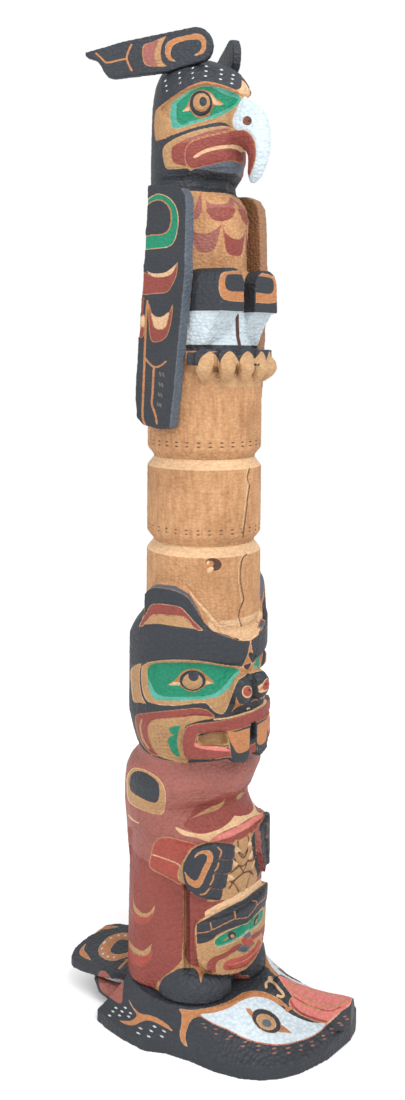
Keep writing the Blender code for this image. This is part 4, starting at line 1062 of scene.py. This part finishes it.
def painted_wood(name, settings):
    """Cedar with brushed paint over it, each paint where its own layer covers the wood."""
    material = bpy.data.materials.get(name)
    if material:
        return material
    material = bpy.data.materials.new(name)
    material.use_nodes = True
    tree = material.node_tree
    shader = tree.nodes["Principled BSDF"]
    start = Wire(tree, shader.inputs["Roughness"])
    coordinates = start.out(start.node("ShaderNodeTexCoord"), "Object")
    grain_place = start.out(start.node("ShaderNodeMapping", {},
                                       {"Vector": coordinates, "Scale": GRAIN_SCALE}))
    grain = start.out(start.node("ShaderNodeTexNoise", {},
                                 {"Vector": grain_place, "Scale": 1.0, "Detail": 6.0,
                                  "Roughness": 0.6}))
    patches = start.out(start.node("ShaderNodeTexNoise", {},
                                   {"Vector": coordinates, "Scale": PATCH_SCALE, "Detail": 4.0}))
    specks = start.out(start.node("ShaderNodeTexNoise", {},
                                  {"Vector": coordinates, "Scale": SPECK_SCALE, "Detail": 3.0}))
    cut_place = start.out(start.node("ShaderNodeMapping", {},
                                     {"Vector": coordinates, "Scale": settings.cut_scale}))
    cuts = start.out(start.node("ShaderNodeTexVoronoi", {},
                                {"Vector": cut_place, "Scale": 1.0, "Randomness": 0.8}))
    deep = ((grain - GRAIN_START) * GRAIN_CONTRAST).clamped()
    colour = start.mix(deep, linear(CEDAR), linear(CEDAR_DEEP))
    deep = ((patches - PATCH_START) * PATCH_CONTRAST).clamped()
    colour = start.mix(deep, colour, linear(CEDAR_DEEP))
    painted = None
    wobble = (specks - 0.5) * settings.edge_wobble
    for paint, value in PAINTS.items():
        cover = start.out(start.node("ShaderNodeAttribute", {"attribute_name": paint}), "Fac")
        factor = ((cover + wobble) * settings.edge_sharpness + 0.5).clamped()
        colour = start.mix(factor, colour, linear(value))
        painted = factor if painted is None else painted.maths("MAXIMUM", painted, factor)
    # Random tone from patches and specks, and painted shade that darkens the rims of the small tool
    # cuts.
    shade = ((0.5 - patches) * settings.patchiness + (0.5 - specks) * SPECK_SHADE
             + (0.5 - cuts) * settings.cut_painted_shade + 1.0) * settings.tone
    gray = start.out(start.node("ShaderNodeCombineColor", {},
                                {"Red": shade, "Green": shade, "Blue": shade}))
    colour = start.mix(1.0, colour, gray, "MULTIPLY")
    start.feed(shader.inputs["Base Color"], colour)
    rough = WOOD_ROUGHNESS - painted * PAINT_SHEEN + (patches - 0.5) * PATCH_ROUGHNESS
    start.feed(shader.inputs["Roughness"], rough)
    height = grain * FINE_RELIEF + specks * FINE_RELIEF + cuts
    bump = start.node("ShaderNodeBump", {},
                      {"Strength": settings.bump, "Distance": RELIEF_DISTANCE,
                       "Height": height})
    start.feed(shader.inputs["Normal"], start.out(bump))
    shader.inputs["Specular IOR Level"].default_value = SPECULAR
    return material


def finish_piece(obj, node, material):
    """Puts a dressed piece in the frame in place of its solid."""
    obj.data.materials.append(material)
    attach(obj, "root")
    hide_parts(node)


def toward_camera(folded, normals, across, axis):
    """How squarely each folded surface point faces the camera: 1 full on, 0 edge on."""
    turned = normals.copy()
    flip = np.where(across < 0.0, normals[:, :2] @ np.array(axis), 0.0)
    turned[:, :2] -= 2.0 * flip[:, None] * np.array(axis)
    camera = np.array([-CAMERA_DISTANCE * math.sin(CAMERA_BEARING),
                       -CAMERA_DISTANCE * math.cos(CAMERA_BEARING), CAMERA_HEIGHT])
    view = camera - folded
    view /= np.linalg.norm(view, axis=1)[:, None]
    return (turned * view).sum(1)


def mirrored_points(points, axis):
    """Points folded onto the right side of a plane through the pole's axis."""
    across = points[:, :2] @ np.array(axis)
    folded = points.copy()
    folded[:, :2] -= np.minimum(across, 0.0)[:, None] * 2.0 * np.array(axis)
    return folded


class TotemPaintSettings(bpy.types.PropertyGroup):
    """How the paint lies on the wood."""

    edge_sharpness: bpy.props.FloatProperty(
        name="Edge sharpness", description="How sharply one paint meets the next",
        default=2.4, min=0.1)
    edge_wobble: bpy.props.FloatProperty(
        name="Edge wobble", description="How far a brushed edge strays, in picture points",
        default=0.35, min=0.0)
    patchiness: bpy.props.FloatProperty(
        name="Patchiness", description="How much the paint and wood vary in tone",
        default=0.45, min=0.0)
    bump: bpy.props.FloatProperty(
        name="Cut relief", description="Strength of the small tool cuts' relief",
        default=0.8, min=0.0, max=1.0)
    cut_scale: bpy.props.FloatVectorProperty(
        name="Cuts a metre", description="Number of small tool cuts in a metre, each way",
        default=(105.0, 105.0, 140.0))
    # Painted shade: how much darker the rims of the small tool cuts are than their middles.
    cut_painted_shade: bpy.props.FloatProperty(
        name="Cut shade", description="How much lighter the middle of a cut is than its rim",
        default=0.32, min=0.0)
    tone: bpy.props.FloatProperty(
        name="Tone", description="Share of the daylight colours kept under the bright sky",
        default=0.66, min=0.0, max=1.0)


class TotemCarvingSettings(bpy.types.PropertyGroup):
    """How fine the carved surface is."""

    spacing: bpy.props.FloatProperty(
        name="Mesh spacing", description="Distance between points of the carved surface",
        default=0.0031, min=0.001, unit="LENGTH", subtype="DISTANCE")
    adze_width: bpy.props.FloatProperty(
        name="Adze mark width", description="Width of one adze mark",
        default=0.010, min=0.002, unit="LENGTH", subtype="DISTANCE")
    adze_height: bpy.props.FloatProperty(
        name="Adze mark height", description="Height of one adze mark",
        default=0.013, min=0.002, unit="LENGTH", subtype="DISTANCE")
    adze_depth: bpy.props.FloatProperty(
        name="Adze mark depth", description="Depth of an adze mark at its middle",
        default=0.0018, min=0.0, unit="LENGTH", subtype="DISTANCE")


class TotemStageSettings(bpy.types.PropertyGroup):
    """Floor and light."""

    floor_size: bpy.props.FloatProperty(
        name="Floor size", description="Width of the floor", default=14.0, min=1.0,
        unit="LENGTH", subtype="DISTANCE")
    sky: bpy.props.FloatProperty(
        name="Sky light", description="Strength of the even light from all round",
        default=1.0, min=0.0)
    key_energy: bpy.props.FloatProperty(
        name="Main light", description="Power of the large soft light above the figures",
        default=190.0, min=0.0, subtype="POWER")


class TOTEM_OT_pole(bpy.types.Operator):
    """Carve and paint the log with the eagle, the column, the beaver and the face"""

    bl_idname = "totem.pole"
    bl_label = "Carved pole"

    def execute(self, context):
        carving = context.scene.totem_carving
        fine = Fine("carved_pole", carving.spacing, LOG_ROUNDS)
        points = fine.points
        folded = mirrored_points(points, RIGHT_SIDE)
        radius = np.hypot(points[:, 0], points[:, 1])
        bearing = np.degrees(np.arctan2(np.abs(points[:, 0]), -points[:, 1]))
        facing = toward_camera(folded, fine.normals(), -points[:, 0], RIGHT_SIDE)
        limit = np.minimum(beyond(-bearing, -SEEN_LIMIT, POINTS_PER_DEGREE),
                           beyond(facing, -FACING_MARGIN, FACING_STEEPNESS))
        painter = Painter(points)
        painter.cover("black", beyond(points[:, 2], NECK_LEVEL))
        painter.cover("black", level_band(points, CHIN_LEVEL, BEAVER_TOP))
        painter.cover("rose", level_band(points, LEG_LEVEL, CHIN_LEVEL))
        painter.cover("red", beyond(-points[:, 2], -LEG_LEVEL))
        # Cream on the upward-facing bevel below each ring: painted light on the lit facet.
        for level in RING_LEVELS:
            painter.cover("cream", level_band(points, level - RING_BEVEL, level))
        painter.cover("cream", level_band(points, *COVE_LEVELS),
                      beyond(-bearing, -COVE_BEARING, POINTS_PER_DEGREE))
        self.notches(painter, bearing, points)
        self.legs(painter, bearing, radius, points)
        mirrored = seen_points(folded)
        plain = seen_points(points)
        forms = (EAGLE_FORMS + CHEST_FORMS + COLUMN_FORMS + BEAVER_FORMS + BODY_FORMS
                 + FACE_FORMS)
        painter.paint(forms, mirrored, plain, radius, limit)
        along = np.radians(bearing) * np.maximum(radius, CORE_RADIUS) * np.sign(points[:, 0])
        marks = adze_marks(along, points[:, 2], carving.adze_width, carving.adze_height,
                           carving.adze_depth, seed=0.0)
        fine.points = points + fine.normals() * (painter.depth + marks)[:, None]
        material = painted_wood("pole_wood", context.scene.totem_paint)
        names = ("pole_feet_and_legs", "pole_beaver_head", "pole_column", "pole_eagle_body",
                 "pole_eagle_head")
        seams = (-BEYOND_ENDS, *PIECE_SEAMS, BEYOND_ENDS)
        for name, low, high in zip(names, seams[:-1], seams[1:]):
            piece = fine.piece(name, painter.covers, low, high)
            finish_piece(piece, "carved_pole", material)
        return {"FINISHED"}

    def legs(self, painter, bearing, radius, points):
        """Knees, shins, toes and claws of the eagle, by where they stand out."""
        aside = np.abs(points[:, 0])
        inner, outer = SHIN_SIDES
        front = np.minimum(beyond(-points[:, 1], KNEE_FRONT), beyond(-aside, -outer))
        painter.cover("black", level_band(points, *KNEE_LEVELS), front,
                      beyond(radius, KNEE_RADIUS))
        shins = np.minimum(level_band(points, *SHIN_LEVELS), front)
        # Dark strip between the shins: painted shade in the gap between them.
        painter.cover("dark", shins, -beyond(aside, inner))
        painter.cover("white", shins, beyond(aside, inner))
        fore = beyond(-bearing, -TOE_BEARING, POINTS_PER_DEGREE)
        painter.cover("black", level_band(points, *INSTEP_LEVELS), fore)
        toes = np.minimum(beyond(radius, TOE_RADIUS), fore)
        painter.cover("black", level_band(points, *TOE_LEVELS), toes)
        painter.cover("buff", level_band(points, *CLAW_LEVELS), toes)

    def notches(self, painter, bearing, points):
        """Pairs of chisel notches above both rings of the column, each painted dark as painted shade
        inside the notch.
        """
        step = 360.0 / NOTCH_COUNT
        offset = (bearing / step - np.floor(bearing / step) - 0.5) * math.radians(step)
        side = offset * COLUMN_RADIUS / NOTCH_HALF_WIDTH
        for level in RING_LEVELS:
            for rise in NOTCH_RISES:
                up = (points[:, 2] - level - rise) / NOTCH_HALF_HEIGHT
                share = 1.0 - np.sqrt(up * up + side * side)
                inside = beyond(share * NOTCH_HALF_HEIGHT, 0.0)
                painter.cover("dark", inside)
                fade = np.minimum(inside, 0.0) / NOTCH_SOFTNESS
                painter.depth -= NOTCH_DEPTH * np.exp(-fade ** 2)


class TOTEM_OT_boards(bpy.types.Operator):
    """Carve and paint the two wings and the two horns"""

    bl_idname = "totem.boards"
    bl_label = "Wings and horns"

    def execute(self, context):
        carving = context.scene.totem_carving
        paint = context.scene.totem_paint
        for node, forms, slot, name in (
                ("wing_right", WING_FORMS, "wings", "wing_on_the_right"),
                ("wing_left", WING_FORMS, "wings", "wing_on_the_left"),
                ("horn_right", HORN_FORMS, "horns", "horn_on_the_right"),
                ("horn_left", HORN_FORMS, "horns", "horn_on_the_left")):
            fine = Fine(node, carving.spacing, BOARD_ROUNDS)
            points = fine.points
            normals = fine.normals()
            outward = normals[:, 0] * np.sign(points[:, 0].mean())
            folded = points.copy()
            folded[:, 0] = -np.abs(folded[:, 0])
            painter = Painter(points)
            painter.cover("black", np.full(len(points), FAR))
            if slot == "wings":
                self.wing_edges(painter, node, normals, outward)
            places = seen_points(folded)
            limit = beyond(outward, OUTER_FACING, SIDE_STEEPNESS)
            painter.paint(forms, places, places, np.zeros(len(points)), limit)
            marks = adze_marks(points[:, 1] + points[:, 0], points[:, 2],
                               carving.adze_width, carving.adze_height,
                               carving.adze_depth, seed=3.0)
            fine.points = points + normals * (painter.depth + marks)[:, None]
            piece = fine.piece(name, painter.covers)
            finish_piece(piece, node, painted_wood("board_wood", paint))
        return {"FINISHED"}

    def wing_edges(self, painter, node, normals, outward):
        """Grey front edges, painted shade in brown on the inner face of the wing on the left, and bare
        wood on the right.
        """
        painter.cover("grey", beyond(-normals[:, 1], EDGE_FACING, EDGE_STEEPNESS))
        if node == "wing_left":
            # Brown on the inner face of the left wing: painted shade.
            painter.cover("painted_shade_brown", beyond(-outward, -OUTER_FACING, SIDE_STEEPNESS))
        else:
            painter.strip((outward + BARE_FACING) * BARE_STEEPNESS)


class TOTEM_OT_base(bpy.types.Operator):
    """Carve and paint the base"""

    bl_idname = "totem.base"
    bl_label = "Base"

    def execute(self, context):
        carving = context.scene.totem_carving
        fine = Fine("base", carving.spacing, BOARD_ROUNDS)
        points = fine.points
        normals = fine.normals()
        folded = mirrored_points(points, (-math.cos(BASE_TURN), -math.sin(BASE_TURN)))
        painter = Painter(points)
        painter.cover("black", np.full(len(points), FAR))
        places = seen_points(folded)
        limit = beyond(normals[:, 2], BASE_FACING, SIDE_STEEPNESS)
        painter.paint(BASE_FORMS, places, places, np.zeros(len(points)), limit)
        marks = adze_marks(points[:, 0], points[:, 1], carving.adze_width,
                           carving.adze_width, carving.adze_depth * BASE_MARK_SHARE,
                           seed=5.0)
        marks *= np.clip(points[:, 2] / BASE_FOOT, 0.0, 1.0)
        fine.points = points + normals * (painter.depth + marks)[:, None]
        fine.points[:, 2] = np.maximum(fine.points[:, 2], 0.0)
        piece = fine.piece("carved_base", painter.covers)
        finish_piece(piece, "base", painted_wood("base_wood",
                                                         context.scene.totem_paint))
        return {"FINISHED"}


class TOTEM_OT_stage(bpy.types.Operator):
    """Set up the floor, the light and the camera"""

    bl_idname = "totem.stage"
    bl_label = "Floor, light and camera"

    def execute(self, context):
        scene = context.scene
        stage = scene.totem_stage
        scene.view_settings.view_transform = "Standard"
        half = 0.5 * stage.floor_size
        mesh = bpy.data.meshes.new("floor")
        mesh.from_pydata([(-half, -half, 0.0), (half, -half, 0.0), (half, half, 0.0),
                          (-half, half, 0.0)], [], [(0, 1, 2, 3)])
        floor = bpy.data.objects.new("floor", mesh)
        scene.collection.objects.link(floor)
        pale = bpy.data.materials.new("pale_floor")
        pale.use_nodes = True
        shader = pale.node_tree.nodes["Principled BSDF"]
        shader.inputs["Base Color"].default_value = (FLOOR_SHADE, FLOOR_SHADE, FLOOR_SHADE, 1.0)
        shader.inputs["Roughness"].default_value = FLOOR_ROUGHNESS
        mesh.materials.append(pale)
        world = bpy.data.worlds.new("daylight")
        world.use_nodes = True
        sky = world.node_tree.nodes["Background"]
        sky.inputs["Color"].default_value = (1.0, 1.0, 1.0, 1.0)
        sky.inputs["Strength"].default_value = stage.sky
        scene.world = world
        self.add_light("main_light", MAIN_LIGHT_PLACE, stage.key_energy)
        self.add_light("fill_light", FILL_LIGHT_PLACE, stage.key_energy * FILL_SHARE)
        self.add_camera(scene)
        return {"FINISHED"}

    def add_light(self, name, place, energy):
        """A large soft square light aimed at the middle of the pole."""
        light = bpy.data.lights.new(name, "AREA")
        light.size = LIGHT_SIZE
        light.energy = energy
        lamp = bpy.data.objects.new(name, light)
        aim = Vector(LIGHT_AIM) - Vector(place)
        lamp.matrix_world = (Matrix.Translation(place)
                             @ aim.to_track_quat("-Z", "Y").to_matrix().to_4x4())
        bpy.context.scene.collection.objects.link(lamp)

    def add_camera(self, scene):
        """The photograph's view."""
        toward = Vector((math.sin(CAMERA_BEARING), math.cos(CAMERA_BEARING), 0.0))
        data = bpy.data.cameras.new("camera")
        data.sensor_fit = "VERTICAL"
        data.sensor_height = SENSOR
        data.lens = SENSOR * FOCAL_POINTS / PICTURE_HEIGHT
        data.shift_x = (0.5 * PICTURE_WIDTH - AXIS_POINT[0]) / PICTURE_HEIGHT
        data.shift_y = (AXIS_POINT[1] - 0.5 * PICTURE_HEIGHT) / PICTURE_HEIGHT
        camera = bpy.data.objects.new("camera", data)
        place = -CAMERA_DISTANCE * toward
        place.z = CAMERA_HEIGHT
        turn = toward.to_track_quat("-Z", "Y").to_matrix().to_4x4()
        roll = Matrix.Rotation(-CAMERA_ROLL, 4, toward)
        camera.matrix_world = Matrix.Translation(place) @ roll @ turn
        scene.collection.objects.link(camera)
        scene.camera = camera


class TOTEM_PT_panel(bpy.types.Panel):
    """Settings and steps of the totem pole."""

    bl_idname = "TOTEM_PT_panel"
    bl_label = "Totem pole"
    bl_space_type = "VIEW_3D"
    bl_region_type = "UI"
    bl_category = "Totem pole"

    def draw(self, context):
        scene = context.scene
        for group in (scene.totem_carving, scene.totem_paint, scene.totem_stage):
            box = self.layout.box()
            for key in group.__annotations__:
                box.prop(group, key)
        for operator in (TOTEM_OT_pole, TOTEM_OT_boards, TOTEM_OT_base, TOTEM_OT_stage):
            self.layout.operator(operator.bl_idname)


CLASSES = (TotemPaintSettings, TotemCarvingSettings, TotemStageSettings, TOTEM_OT_pole,
           TOTEM_OT_boards, TOTEM_OT_base, TOTEM_OT_stage, TOTEM_PT_panel)


def register():
    for item in CLASSES:
        bpy.utils.register_class(item)
    bpy.types.Scene.totem_paint = bpy.props.PointerProperty(type=TotemPaintSettings)
    bpy.types.Scene.totem_carving = bpy.props.PointerProperty(type=TotemCarvingSettings)
    bpy.types.Scene.totem_stage = bpy.props.PointerProperty(type=TotemStageSettings)


def unregister():
    del bpy.types.Scene.totem_paint
    del bpy.types.Scene.totem_carving
    del bpy.types.Scene.totem_stage
    for item in reversed(CLASSES):
        bpy.utils.unregister_class(item)


def main():
    """Makes the pieces and the stage."""
    register()
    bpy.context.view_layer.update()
    bpy.ops.totem.pole()
    bpy.ops.totem.boards()
    bpy.ops.totem.base()
    bpy.ops.totem.stage()


if __name__ == "__main__":
    main()
